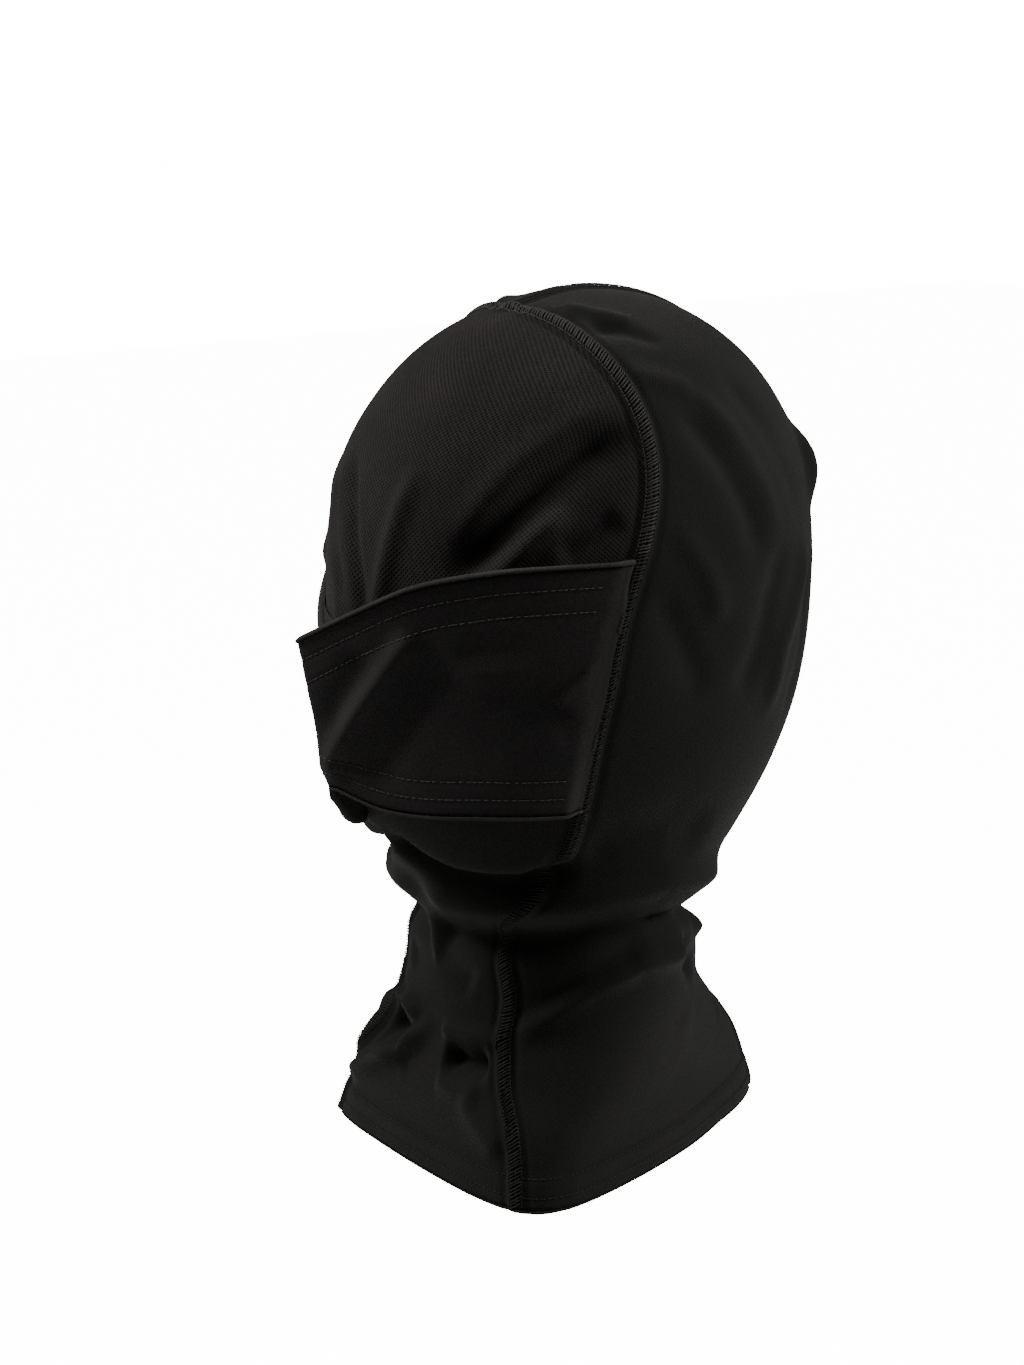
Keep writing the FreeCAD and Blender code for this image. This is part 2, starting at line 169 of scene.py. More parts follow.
def distance_to_path(points: Array, path: Path) -> tuple[Array, Array]:
    """Distance of points from a path, and how far along it each nearest place is.

    Args:
        points: Points, one per row.
        path: Corners of the path.

    Returns:
        Distances in millimetres and shares of the path's length from 0 to 1.
    """
    corners = np.array(path, float)
    lengths = np.linalg.norm(np.diff(corners, axis=0), axis=1)
    starts = np.concatenate([[0.0], np.cumsum(lengths)])
    nearest = np.full(len(points), 1e9)
    share = np.zeros(len(points))
    for index, length in enumerate(lengths):
        direction = (corners[index + 1] - corners[index]) / length
        reach = np.clip((points - corners[index]) @ direction, 0.0, length)
        gap = np.linalg.norm(points - corners[index] - reach[:, None] * direction, axis=1)
        closer = gap < nearest
        nearest = np.where(closer, gap, nearest)
        share = np.where(closer, (starts[index] + reach) / starts[-1], share)
    return nearest, share


# ---------------------------------------------------------------------------------------------
# Meshes
# ---------------------------------------------------------------------------------------------


@dataclass
class MeshParts:
    """Vertices and faces of one piece, gathered from several bits of geometry."""

    name: str

    def __post_init__(self) -> None:
        """Start with nothing."""
        self.vertices: list[Array] = []
        self.faces: list[tuple[int, ...]] = []
        self.flat: list[Array] = []
        self.count = 0

    def add(self, vertices: Array, faces: list[tuple[int, ...]], flat: Array) -> None:
        """Add vertices in millimetres, faces that index them, and flat cloth coordinates."""
        self.faces.extend(tuple(i + self.count for i in face) for face in faces)
        self.vertices.append(vertices)
        self.flat.append(flat)
        self.count += len(vertices)

    def sheet(self, points: Array, flat: Array, thickness: float) -> None:
        """Add a grid of cloth with a thickness, closed round its edges.

        Args:
            points: Outer face of the cloth, rows by columns.
            flat: Flat cloth coordinates of the grid, in millimetres.
            thickness: How far the inner face lies behind the outer one.
        """
        rows, columns = points.shape[:2]
        normals = grid_normals(points)
        inner = points - normals * thickness
        size = rows * columns
        index = np.arange(size).reshape(rows, columns)
        a, b = index[:-1, :-1].ravel(), index[:-1, 1:].ravel()
        c, d = index[1:, 1:].ravel(), index[1:, :-1].ravel()
        faces = list(zip(a.tolist(), b.tolist(), c.tolist(), d.tolist()))
        faces += [(p + size, q + size, r + size, s + size)
                  for p, q, r, s in zip(a.tolist(), d.tolist(), c.tolist(), b.tolist())]
        rim = np.concatenate([index[0, :], index[1:, -1], index[-1, -2::-1], index[-2:0:-1, 0]]).tolist()
        for first, second in zip(rim, rim[1:] + rim[:1]):
            faces.append((first, first + size, second + size, second))
        both = np.concatenate([points.reshape(-1, 3), inner.reshape(-1, 3)])
        self.add(both, faces, np.concatenate([flat.reshape(-1, 2)] * 2))

    def tube(self, line: Array, radius: float, sides: int = 5) -> None:
        """Add a round thread along a line, closed at both ends."""
        count = len(line)
        along = unit(np.gradient(line, axis=0))
        steep = np.abs(along[:, 2:3]) > 0.8
        guide = np.where(steep, np.array([[1.0, 0.0, 0.0]]), np.array([[0.0, 0.0, 1.0]]))
        across = unit(np.cross(along, guide))
        other = np.cross(along, across)
        rings = []
        for side in range(sides):
            turn = 2 * math.pi * side / sides
            rings.append(line + (across * math.cos(turn) + other * math.sin(turn)) * radius)
        vertices = np.stack(rings, 1).reshape(-1, 3)
        faces: list[tuple[int, ...]] = []
        for step in range(count - 1):
            for side in range(sides):
                after = (side + 1) % sides
                base, above = step * sides, (step + 1) * sides
                faces.append((base + side, above + side, above + after, base + after))
        faces.append(tuple(range(sides)))
        faces.append(tuple(range((count - 1) * sides, count * sides))[::-1])
        flat = np.stack([np.repeat(travel(line), sides), np.tile(np.arange(sides), count)], 1).astype(float)
        self.add(vertices, faces, flat)

    def build(self) -> bpy.types.Object:
        """Make the Blender object, in metres, with smooth shading and cloth coordinates."""
        vertices = np.concatenate(self.vertices) * MM
        flat = np.concatenate(self.flat)
        mesh = bpy.data.meshes.new(self.name)
        mesh.from_pydata(vertices.tolist(), [], self.faces)
        layer = mesh.uv_layers.new(name="cloth")
        loops = np.zeros(len(mesh.loops), np.int32)
        mesh.loops.foreach_get("vertex_index", loops)
        layer.data.foreach_set("uv", flat[loops].astype(np.float32).ravel())
        mesh.polygons.foreach_set("use_smooth", [True] * len(mesh.polygons))
        mesh.update()
        piece = bpy.data.objects.new(self.name, mesh)
        bpy.context.scene.collection.objects.link(piece)
        return piece


# ---------------------------------------------------------------------------------------------
# Materials
# ---------------------------------------------------------------------------------------------


def linear(colour: str) -> tuple[float, float, float, float]:
    """Linear colour of an sRGB hex value such as #1a1a1a."""
    parts = [int(colour[k:k + 2], 16) / 255 for k in (1, 3, 5)]
    red, green, blue = (c / 12.92 if c <= 0.04045 else ((c + 0.055) / 1.055) ** 2.4 for c in parts)
    return red, green, blue, 1.0


def add_node(tree: bpy.types.NodeTree, kind: str, settings: dict[str, object] | None = None,
             inputs: dict[object, object] | None = None) -> bpy.types.Node:
    """Add one node, with its settings, and its inputs set or linked.

    Args:
        tree: The material's node tree.
        kind: Blender's name for the node.
        settings: Attributes to set on the node.
        inputs: Values or sockets for its inputs, by name or number.

    Returns:
        The new node.
    """
    node = tree.nodes.new(kind)
    for key, value in (settings or {}).items():
        setattr(node, key, value)
    for key, value in (inputs or {}).items():
        if isinstance(value, bpy.types.NodeSocket):
            tree.links.new(value, node.inputs[key])
        else:
            node.inputs[key].default_value = value
    return node


def math_node(tree: bpy.types.NodeTree, operation: str, *values: object) -> bpy.types.NodeSocket:
    """Result of one arithmetic step on values or sockets."""
    node = add_node(tree, "ShaderNodeMath", {"operation": operation}, dict(enumerate(values)))
    return node.outputs[0]


def new_material(name: str) -> tuple[bpy.types.Material, bpy.types.NodeTree, bpy.types.Node]:
    """A new node material, its tree and its shader."""
    material = bpy.data.materials.new(name)
    material.use_nodes = True
    return material, material.node_tree, material.node_tree.nodes["Principled BSDF"]


@dataclass(frozen=True)
class Jersey:
    """Polyester-elastane jersey, brushed on its face: a soft matt black with a faint halo of fuzz."""

    name: str
    face: str                    # colour of the yarn in the light
    shade: str                   # colour between the loops
    knit: Knit = Knit.PLAIN
    wale: float = 1.1            # mm between ribs; the real 0.5 mm is too fine to show, so drawn coarser
    course: float = 0.8          # mm between rows of loops, drawn coarser for the same reason
    eyelet_pitch: float = 1.75   # mm between the pin-holes of the eyelet knit
    eyelet_radius: float = 0.36  # mm
    rib_share: float = 0.35      # how strongly the ribs show
    fuzz_scale: float = 0.9      # clumps of fuzz to the mm
    patch_scale: float = 0.03    # broad worn patches to the mm
    relief: float = 0.35         # mm that the knit stands up
    sheen: float = 0.10
    sheen_tint: str = "#8a8886"
    roughness: float = 0.86
    specular: float = 0.10

    def make(self) -> bpy.types.Material:
        """Build the node material."""
        material, tree, shader = new_material(self.name)
        cloth = add_node(tree, "ShaderNodeUVMap", {"uv_map": "cloth"})
        split = add_node(tree, "ShaderNodeSeparateXYZ", None, {0: cloth.outputs[0]})
        across, up = split.outputs[0], split.outputs[1]
        ribs = math_node(tree, "SINE", math_node(tree, "MULTIPLY", across, 2 * math.pi / self.wale))
        rows = math_node(tree, "SINE", math_node(tree, "MULTIPLY", up, 2 * math.pi / self.course))
        loops = math_node(tree, "MULTIPLY", ribs, rows)
        stretch = add_node(tree, "ShaderNodeMapping", None, {0: cloth.outputs[0], 3: (1.0, 0.45, 1.0)})
        fuzz = add_node(tree, "ShaderNodeTexNoise", None,
                        {"Vector": stretch.outputs[0], "Scale": self.fuzz_scale, "Detail": 4.0,
                         "Roughness": 0.65})
        broad = add_node(tree, "ShaderNodeTexNoise", None,
                         {"Vector": cloth.outputs[0], "Scale": self.patch_scale, "Detail": 2.0})
        height = math_node(tree, "MULTIPLY_ADD", loops, self.rib_share, fuzz.outputs[0])
        tone = math_node(tree, "MULTIPLY_ADD", broad.outputs[0], 0.5,
                         math_node(tree, "MULTIPLY", fuzz.outputs[0], 0.6))
        if self.knit is Knit.EYELET:
            hole = self.holes(tree, across, up)
            height = math_node(tree, "MULTIPLY_ADD", hole, -1.6, height)
            # painted shade: each pin-hole is darkened towards the shade colour, standing in for the shade
            # inside it
            tone = math_node(tree, "MULTIPLY_ADD", hole, -0.75, tone)
        ramp = add_node(tree, "ShaderNodeValToRGB", None, {0: tone})
        ramp.color_ramp.elements[0].position = 0.25
        ramp.color_ramp.elements[0].color = linear(self.shade)
        ramp.color_ramp.elements[1].position = 0.8
        ramp.color_ramp.elements[1].color = linear(self.face)
        bump = add_node(tree, "ShaderNodeBump", None,
                        {"Strength": 0.55, "Distance": self.relief * MM, "Height": height})
        tree.links.new(ramp.outputs[0], shader.inputs["Base Color"])
        tree.links.new(bump.outputs[0], shader.inputs["Normal"])
        shader.inputs["Roughness"].default_value = self.roughness
        shader.inputs["Specular IOR Level"].default_value = self.specular
        shader.inputs["Sheen Weight"].default_value = self.sheen
        shader.inputs["Sheen Roughness"].default_value = 0.45
        shader.inputs["Sheen Tint"].default_value = linear(self.sheen_tint)
        return material

    def holes(self, tree: bpy.types.NodeTree, across: bpy.types.NodeSocket,
              up: bpy.types.NodeSocket) -> bpy.types.NodeSocket:
        """Staggered round pin-holes.

        Args:
            tree: The material's node tree.
            across: Place across the cloth, in millimetres.
            up: Place up the cloth, in millimetres.

        Returns:
            1 in a hole and 0 in the cloth.
        """
        columns = math_node(tree, "DIVIDE", across, self.eyelet_pitch)
        rows = math_node(tree, "DIVIDE", up, self.eyelet_pitch)
        masks = []
        radius = self.eyelet_radius / self.eyelet_pitch
        for shift in (0.0, 0.5):
            squares = []
            for place in (columns, rows):
                within = math_node(tree, "FRACT", math_node(tree, "ADD", place, shift))
                offset = math_node(tree, "SUBTRACT", within, 0.5)
                squares.append(math_node(tree, "MULTIPLY", offset, offset))
            away = math_node(tree, "SQRT", math_node(tree, "ADD", *squares))
            edge = add_node(tree, "ShaderNodeMapRange", {"interpolation_type": "SMOOTHSTEP"},
                            {0: away, 1: radius * 0.6, 2: radius * 1.4, 3: 1.0, 4: 0.0})
            masks.append(edge.outputs[0])
        return math_node(tree, "MAXIMUM", masks[0], masks[1])


@dataclass(frozen=True)
class Thread:
    """Spun polyester sewing thread: twisted, with a slight satin glint on each stitch, its colour painted
    lighter on the twist's crests and darker in its grooves as painted highlight and shade.
    """

    name: str
    colour: str
    twist: float = 0.9           # mm between the twists; the real 0.3 mm is too fine to show

    def make(self) -> bpy.types.Material:
        """Build the node material."""
        material, tree, shader = new_material(self.name)
        cloth = add_node(tree, "ShaderNodeUVMap", {"uv_map": "cloth"})
        split = add_node(tree, "ShaderNodeSeparateXYZ", None, {0: cloth.outputs[0]})
        turn = math_node(tree, "MULTIPLY_ADD", split.outputs[0], 2 * math.pi / self.twist,
                         math_node(tree, "MULTIPLY", split.outputs[1], 1.2))
        wave = math_node(tree, "SINE", turn)
        # painted highlight and shade: the colour is lighter on the twist's crests and darker in its grooves,
        # in step with the bump
        tone = math_node(tree, "MULTIPLY_ADD", wave, 0.18, 0.82)
        colour = add_node(tree, "ShaderNodeMix", {"data_type": "RGBA", "blend_type": "MULTIPLY"})
        colour.inputs[0].default_value = 1.0
        colour.inputs[6].default_value = linear(self.colour)
        tree.links.new(tone, colour.inputs[7])
        bump = add_node(tree, "ShaderNodeBump", None,
                        {"Strength": 0.4, "Distance": 0.1 * MM, "Height": wave})
        tree.links.new(colour.outputs[2], shader.inputs["Base Color"])
        tree.links.new(bump.outputs[0], shader.inputs["Normal"])
        shader.inputs["Roughness"].default_value = 0.7
        shader.inputs["Specular IOR Level"].default_value = 0.2
        return material


@dataclass(frozen=True)
class StudioPaper:
    """Seamless white paper: a plain pale floor with a barely visible grain."""

    name: str = "studio_paper"
    colour: str = "#fbfbfb"
    glow: float = 15.0           # lit from below, as a light table is, so that it reads as white

    def make(self) -> bpy.types.Material:
        """Build the node material."""
        material, tree, shader = new_material(self.name)
        place = add_node(tree, "ShaderNodeTexCoord")
        grain = add_node(tree, "ShaderNodeTexNoise", None,
                         {"Vector": place.outputs["Object"], "Scale": 900.0, "Detail": 2.0})
        bump = add_node(tree, "ShaderNodeBump", None,
                        {"Strength": 0.05, "Distance": 0.1 * MM, "Height": grain.outputs[0]})
        tree.links.new(bump.outputs[0], shader.inputs["Normal"])
        shader.inputs["Base Color"].default_value = linear(self.colour)
        shader.inputs["Roughness"].default_value = 0.9
        seen = add_node(tree, "ShaderNodeLightPath")
        glow = math_node(tree, "MULTIPLY", seen.outputs["Is Camera Ray"], self.glow)
        shader.inputs["Emission Color"].default_value = linear(self.colour)
        tree.links.new(glow, shader.inputs["Emission Strength"])
        return material


@dataclass
class Wardrobe:
    """The finishes of the balaclava, made once and shared by its pieces; the black jersey and thread come in
    lighter copies for lit places and darker copies for shaded ones, which is painted light and shade.
    """

    def __post_init__(self) -> None:
        """Make every material."""
        # painted shade: the hood's jersey is a darker copy of the same black jersey, toned down for the
        # shaded chin and neck
        self.hood = Jersey("shaded_brushed_jersey", face="#12120f", shade="#070706", sheen=0.12).make()
        # painted light: the forehead's eyelet jersey is a lighter, warmer copy of the same black jersey,
        # carrying the lit forehead's warm highlight
        self.eyelet = Jersey("eyelet_jersey", face="#24201e", shade="#070606", knit=Knit.EYELET,
                             rib_share=0.2).make()
        # painted light: the mask's jersey is a lighter copy of the same black jersey, for its lit front
        self.mask = Jersey("mask_jersey", face="#1f1c1b", shade="#0d0c0c", rib_share=0.5).make()
        # painted highlight: the turned-in hems are the mask's own jersey in a lighter copy, for the light on
        # their rounded folds
        self.mask_edge = Jersey("lit_mask_hem_jersey", face="#2a2725", shade="#0e0d0d", rib_share=1.2,
                                wale=1.1, course=400.0).make()
        # painted highlight: the mask's hem stitches are a lighter copy of the black thread, for their glint
        # in the light
        self.lit_mask_thread = Thread("lit_hem_thread", "#3d3b38").make()
        self.binding = Jersey("elastic_binding", face="#201f1c", shade="#0e0e0c", rib_share=0.9,
                              wale=1.6, course=1.6).make()
        # painted light and shade: the crown thread is a lighter copy for the lit top of the head, the seam
        # thread a darker copy for the shaded side, back and neck seams
        self.lit_crown_thread = Thread("lit_crown_thread", "#2d2a28").make()
        self.seam_thread = Thread("seam_thread", "#171714").make()
        self.label = Jersey("blank_satin_tape", face="#b9b7b0", shade="#8d8b85", rib_share=0.1,
                            roughness=0.5).make()


# ---------------------------------------------------------------------------------------------
# Folds
# ---------------------------------------------------------------------------------------------


@dataclass(frozen=True)
class Fold:
    """One ridge (positive rise) or valley (negative rise) of the cloth.

    The path lies on the wearer's left; the other side gets its mirror image, as strong as
    other_side says.
    """

    path: Path
    width: float
    rise: float
    other_side: float = 0.75
    taper: float = 0.22

    def lift(self, points: Array) -> Array:
        """How far the fold lifts each point along the surface's normal, in millimetres."""
        total = np.zeros(len(points))
        for sign, strength in ((1.0, 1.0), (-1.0, self.other_side)):
            if strength == 0.0:
                continue
            gap, share = distance_to_path(points * np.array([sign, 1.0, 1.0]), self.path)
            ends = smooth_step(np.minimum(share, 1.0 - share) / self.taper)
            total += strength * self.rise * np.exp(-(gap / self.width) ** 2) * ends
        return total


HOOD_FOLDS: tuple[Fold, ...] = (
    # forehead: long diagonal valley from the temple to the mask, with a lit ridge each side
    Fold(((63, -11, 95), (59, -32, 87), (56, -46, 78), (52, -60, 65), (46, -69, 51), (40, -75, 38)),
         6.5, -7.3, 0.8, 0.25),
    Fold(((60, -14, 104), (56, -38, 92), (50, -55, 82), (46, -67, 68), (38, -75, 54)), 6.5, 2.5, 0.8),
    Fold(((65, -40, 70), (59, -52, 61), (54, -62, 51), (48, -70, 40), (44, -74, 30)), 5.0, 4.2, 0.8),
    Fold(((70, -24, 66), (67, -35, 58), (62, -47, 52)), 5.0, -2.5, 0.8),
    # forehead: crease and bright fold beside the mid-plane
    Fold(((-17, -78, 84), (-6, -85, 62), (2, -88, 38), (5, -89, 12)), 3.0, -2.7, 0.0),
    Fold(((-30, -76, 74), (-18, -85, 52), (-8, -88, 26)), 4.0, -2.2, 0.0),
    Fold(((22, -74, 84), (19, -83, 62), (14, -87, 36), (12, -88, 14)), 4.2, 2.8, 0.4),
    # crown: puckers gathered by the seam
    Fold(((16, -14, 130), (26, -6, 128), (36, 8, 126)), 4.0, 2.5, 0.7),
    Fold(((32, -12, 124), (38, 0, 124), (44, 14, 120)), 3.2, -2.2, 0.7),
    Fold(((50, -10, 112), (54, 4, 108), (56, 18, 102)), 4.5, 1.4, 0.7),
    # back of the head: soft upright folds
    Fold(((58, 66, 52), (62, 62, 30), (66, 50, 8), (63, 45, -20)), 5.0, 2.0, 0.7),
    Fold(((67, 50, 50), (70, 42, 30), (71, 37, 12), (70, 26, -8)), 6.0, -1.8, 0.7),
    Fold(((50, 76, 46), (54, 70, 18), (54, 62, -8), (50, 56, -26)), 4.5, -2.0, 0.7),
    Fold(((8, 97, 84), (8, 101, 66), (7, 101, 50)), 7.0, 4.5, 1.0),
    Fold(((36, 82, 92), (41, 80, 72), (44, 77, 50)), 3.2, 5.0, 0.3, 0.3),
    Fold(((30, 86, 88), (35, 84, 70), (38, 81, 52)), 4.0, -2.0, 0.3, 0.3),
    # back of the head: long slanting folds drawn from the seam towards the nape
    Fold(((58, 4, 98), (64, 16, 84), (68, 28, 62), (69, 36, 40)), 5.0, -2.2, 0.7),
    Fold(((54, 12, 106), (60, 26, 90), (64, 38, 66), (64, 46, 44)), 5.0, 2.0, 0.7),
    Fold(((46, 30, 108), (52, 42, 90), (55, 54, 66), (54, 62, 44)), 5.5, -2.2, 0.7),
    Fold(((70, -6, 62), (73, 8, 44), (74, 18, 22)), 5.0, 1.4, 0.7),
    Fold(((71, -14, 40), (73, -2, 20), (71, 10, -4)), 6.0, -1.4, 0.7),
    # jaw and throat: deep crevice under the chin that runs back below the ear
    Fold(((0, -78, -57), (7, -75, -59), (14, -71, -64), (24, -64, -69), (35, -56, -70), (43, -47, -69),
          (50, -39, -65), (56, -32, -58)), 4.5, -5.9, 1.0, 0.12),
    Fold(((52, -36, -58), (62, -18, -52), (66, 3, -50), (60, 25, -58)), 9.0, -2.2, 0.9),
    # neck: lit roll, deep valley, and the gathered roll behind
    Fold(((0, -61, -77), (16, -59, -78), (30, -53, -78), (45, -39, -77), (54, -21, -75), (58, 4, -73),
          (48, 32, -77), (24, 46, -80), (0, 52, -82)), 7.0, 4.8, 0.9, 0.08),
    Fold(((0, -57, -95), (10, -57, -95), (24, -53, -94), (40, -40, -92), (50, -22, -91), (54, -2, -92),
          (50, 18, -92), (36, 38, -94), (0, 50, -96)), 6.0, -5.6, 0.9, 0.05),
    Fold(((52, -6, -88), (53, 12, -92), (40, 33, -96), (20, 46, -98), (0, 50, -99)), 2.4, -3.6, 0.8, 0.2),
    Fold(((34, 38, -88), (22, 46, -88), (0, 52, -90)), 5.0, 5.0, 1.0, 0.3),
    Fold(((36, 38, -104), (22, 46, -106), (0, 52, -108)), 4.0, 4.5, 1.0, 0.3),
    Fold(((46, 22, -100), (43, 30, -111), (36, 42, -122)), 5.0, -5.5, 1.0, 0.3),
    Fold(((26, 46, -103), (23, 54, -116), (17, 64, -130), (10, 76, -146)), 8.0, 6.0, 1.0, 0.25),
    # skirt: shoulder ridge from the side seam up to the nape
    Fold(((35, -49, -131), (43, -37, -120), (50, -22, -110), (53, -2, -104), (48, 20, -106),
          (34, 38, -114)), 4.5, 3.6, 0.9, 0.2),
    Fold(((40, -46, -122), (48, -30, -110), (53, -12, -102), (54, 4, -98)), 4.0, -2.5, 0.9),
    # skirt front: hollow beside the side seam and the lit ridges round it
    Fold(((6, -58, -131), (18, -57, -129), (30, -54, -129), (37, -50, -130)), 3.0, 4.6, 0.8),
    Fold(((10, -59, -140), (22, -58, -140), (33, -54, -138)), 4.6, -7.5, 0.8),
    Fold(((8, -61, -149), (20, -60, -150), (34, -57, -148)), 4.0, 2.2, 0.8),
    Fold(((-54, -59, -168), (-36, -62, -158), (-20, -62, -149), (-6, -59, -138), (2, -58, -130)),
         4.0, 6.0, 0.0),
    Fold(((50, -60, -166), (38, -62, -159), (24, -62, -150)), 5.0, 2.2, 0.0),
    Fold(((-42, -44, -130), (-45, -54, -146), (-51, -60, -160)), 4.5, 3.4, 0.0),
    Fold(((-24, -56, -122), (-30, -58, -138), (-36, -62, -150)), 5.0, -3.9, 0.0),
    # skirt back: the cloth stands out from the nape over the shoulders
    Fold(((20, 68, -140), (10, 80, -146), (0, 84, -148)), 9.0, 3.5, 1.0, 0.3),
    Fold(((46, 30, -128), (50, 34, -146), (46, 46, -164)), 7.0, 1.6, 0.8),
    Fold(((0, -57, -102), (10, -56, -106), (22, -52, -112)), 6.0, -2.0, 0.9),
)


# ---------------------------------------------------------------------------------------------
# The hood
# ---------------------------------------------------------------------------------------------


@dataclass(frozen=True)
class HoodForm:
    """Smooth shape of the hood on a head, before its folds.  Sizes are in millimetres."""

    head_front: float = 88.0
    head_back: float = 98.0
    head_half_width: float = 75.0
    head_widest_y: float = 6.0
    head_widest_z: float = 35.0
    head_power: float = 2.15
    crown_height: float = 134.0
    crown_powers: tuple[float, float, float] = (2.25, 2.5, 2.2)
    # height, front, back, half width, front and back powers, and widest place
    neck_row: tuple[float, ...] = (-100.0, -57.0, 50.0, 53.0, 2.1, 2.0, 0.0)
    skirt_row: tuple[float, ...] = (-186.0, -68.0, 93.0, 67.0, 3.6, 1.3, -44.0)
    # how far each of those has gone from the neck to the head, section by section
    jaw_blends: tuple[tuple[float, ...], ...] = (
        (0.165, 0.16, 0.10, 0.14, 0.33, 0.00, 0.33),
        (0.285, 0.55, 0.38, 0.36, 0.33, 0.40, 0.66),
        (0.480, 0.92, 0.73, 0.67, 0.33, 0.60, 1.00),
        (0.740, 1.00, 0.95, 0.90, 1.00, 1.00, 1.00),
    )
    # the same from the skirt's edge to the neck
    skirt_blends: tuple[tuple[float, ...], ...] = (
        (0.30, 0.36, 0.24, 0.36, 0.27, 0.08, 0.23),
        (0.52, 0.73, 0.62, 0.71, 0.67, 0.43, 0.59),
        (0.73, 1.00, 0.94, 0.95, 0.93, 0.86, 0.86),
    )
    hem_front_z: float = -182.0
    hem_back_z: float = -188.0
    seam_line: Line = (
        (-27, 160), (-25, 134), (-18, 124), (-12, 110), (-9.5, 94), (-11, 76), (-16, 58), (-22, 42),
        (-27, 24), (-30, 5), (-32.5, -12), (-34.5, -34), (-36, -54), (-41, -68), (-46, -79),
        (-47.5, -94), (-46, -114), (-49, -128), (-55, -150), (-60, -176), (-66, -215),
    )
    brow_edge: Line = ((-130, 2), (-88, 14), (-60, 22), (-28, 26), (0, 32))
    chin_edge: Line = ((-130, -34), (-86, -28), (-60, -22), (-33, -10), (0, 2))

    def rows(self) -> Array:
        """Driving sections from the skirt up to the fullest part of the head."""
        head = (self.head_widest_z, -self.head_front, self.head_back, self.head_half_width,
                self.head_power, self.head_power, self.head_widest_y)
        rows = [self.skirt_row]
        for shares in self.skirt_blends:
            rows.append(tuple(a + (b - a) * s for a, b, s in zip(self.skirt_row, self.neck_row, shares)))
        rows.append(self.neck_row)
        for shares in self.jaw_blends:
            rows.append(tuple(a + (b - a) * s for a, b, s in zip(self.neck_row, head, shares)))
        rows.append(head)
        return np.array(rows, float)

    def section(self, height: Array) -> tuple[Array, ...]:
        """Front, back, half width, two powers and widest place at each height."""
        height = np.asarray(height, float)
        rows = self.rows()
        low = [smooth_curve(height, rows[:, 0], rows[:, k]) for k in range(1, 7)]
        rise = np.clip((height - self.head_widest_z) / (self.crown_height - self.head_widest_z), 0.0, 1.0)
        fall = [np.sqrt(np.maximum(1 - rise ** power, 0.0)) for power in self.crown_powers]
        widest = self.head_widest_y
        high = [
            widest - (self.head_front + widest) * fall[0],
            widest + (self.head_back - widest) * fall[1],
            self.head_half_width * fall[2],
            self.head_power + (2.0 - self.head_power) * rise,
            self.head_power + (2.0 - self.head_power) * rise,
            np.full_like(height, widest),
        ]
        over = height > self.head_widest_z
        return tuple(np.where(over, h, v) for h, v in zip(high, low))

    def point(self, angle: Array, height: Array) -> Array:
        """Points at angles round the hood, 0 at the wearer's left and a quarter turn at the front."""
        front, back, half, power_front, power_back, widest = self.section(height)
        across, ahead = np.cos(angle), np.sin(angle)
        power = np.where(ahead > 0, power_front, power_back)
        reach = np.where(ahead > 0, widest - front, back - widest)
        x = half * np.sign(across) * np.abs(across) ** (2 / power)
        y = widest - reach * np.sign(ahead) * np.abs(ahead) ** (2 / power)
        return np.stack([x, y, np.broadcast_to(height, x.shape)], -1)

    def seam_angle(self, height: Array) -> Array:
        """Angle of the side seam on the wearer's left at each height."""
        front, back, _, power_front, power_back, widest = self.section(height)
        places = np.array(sorted((z, y) for y, z in self.seam_line), float)
        seam_y = smooth_curve(height, places[:, 0], places[:, 1])
        ahead = seam_y < widest
        reach = np.where(ahead, widest - front, back - widest)
        power = np.where(ahead, power_front, power_back)
        share = np.clip(np.abs(widest - seam_y) / np.maximum(reach, 1e-6), 0.0, 1.0)
        return np.where(ahead, 1.0, -1.0) * np.arcsin(share ** (power / 2))

    def hem_lift(self, y: Array) -> Array:
        """Height of the neck hem at a place along the skirt."""
        slope = (self.hem_back_z - self.hem_front_z) / (self.skirt_row[2] - self.skirt_row[1])
        return self.hem_front_z + slope * (y - self.skirt_row[1])


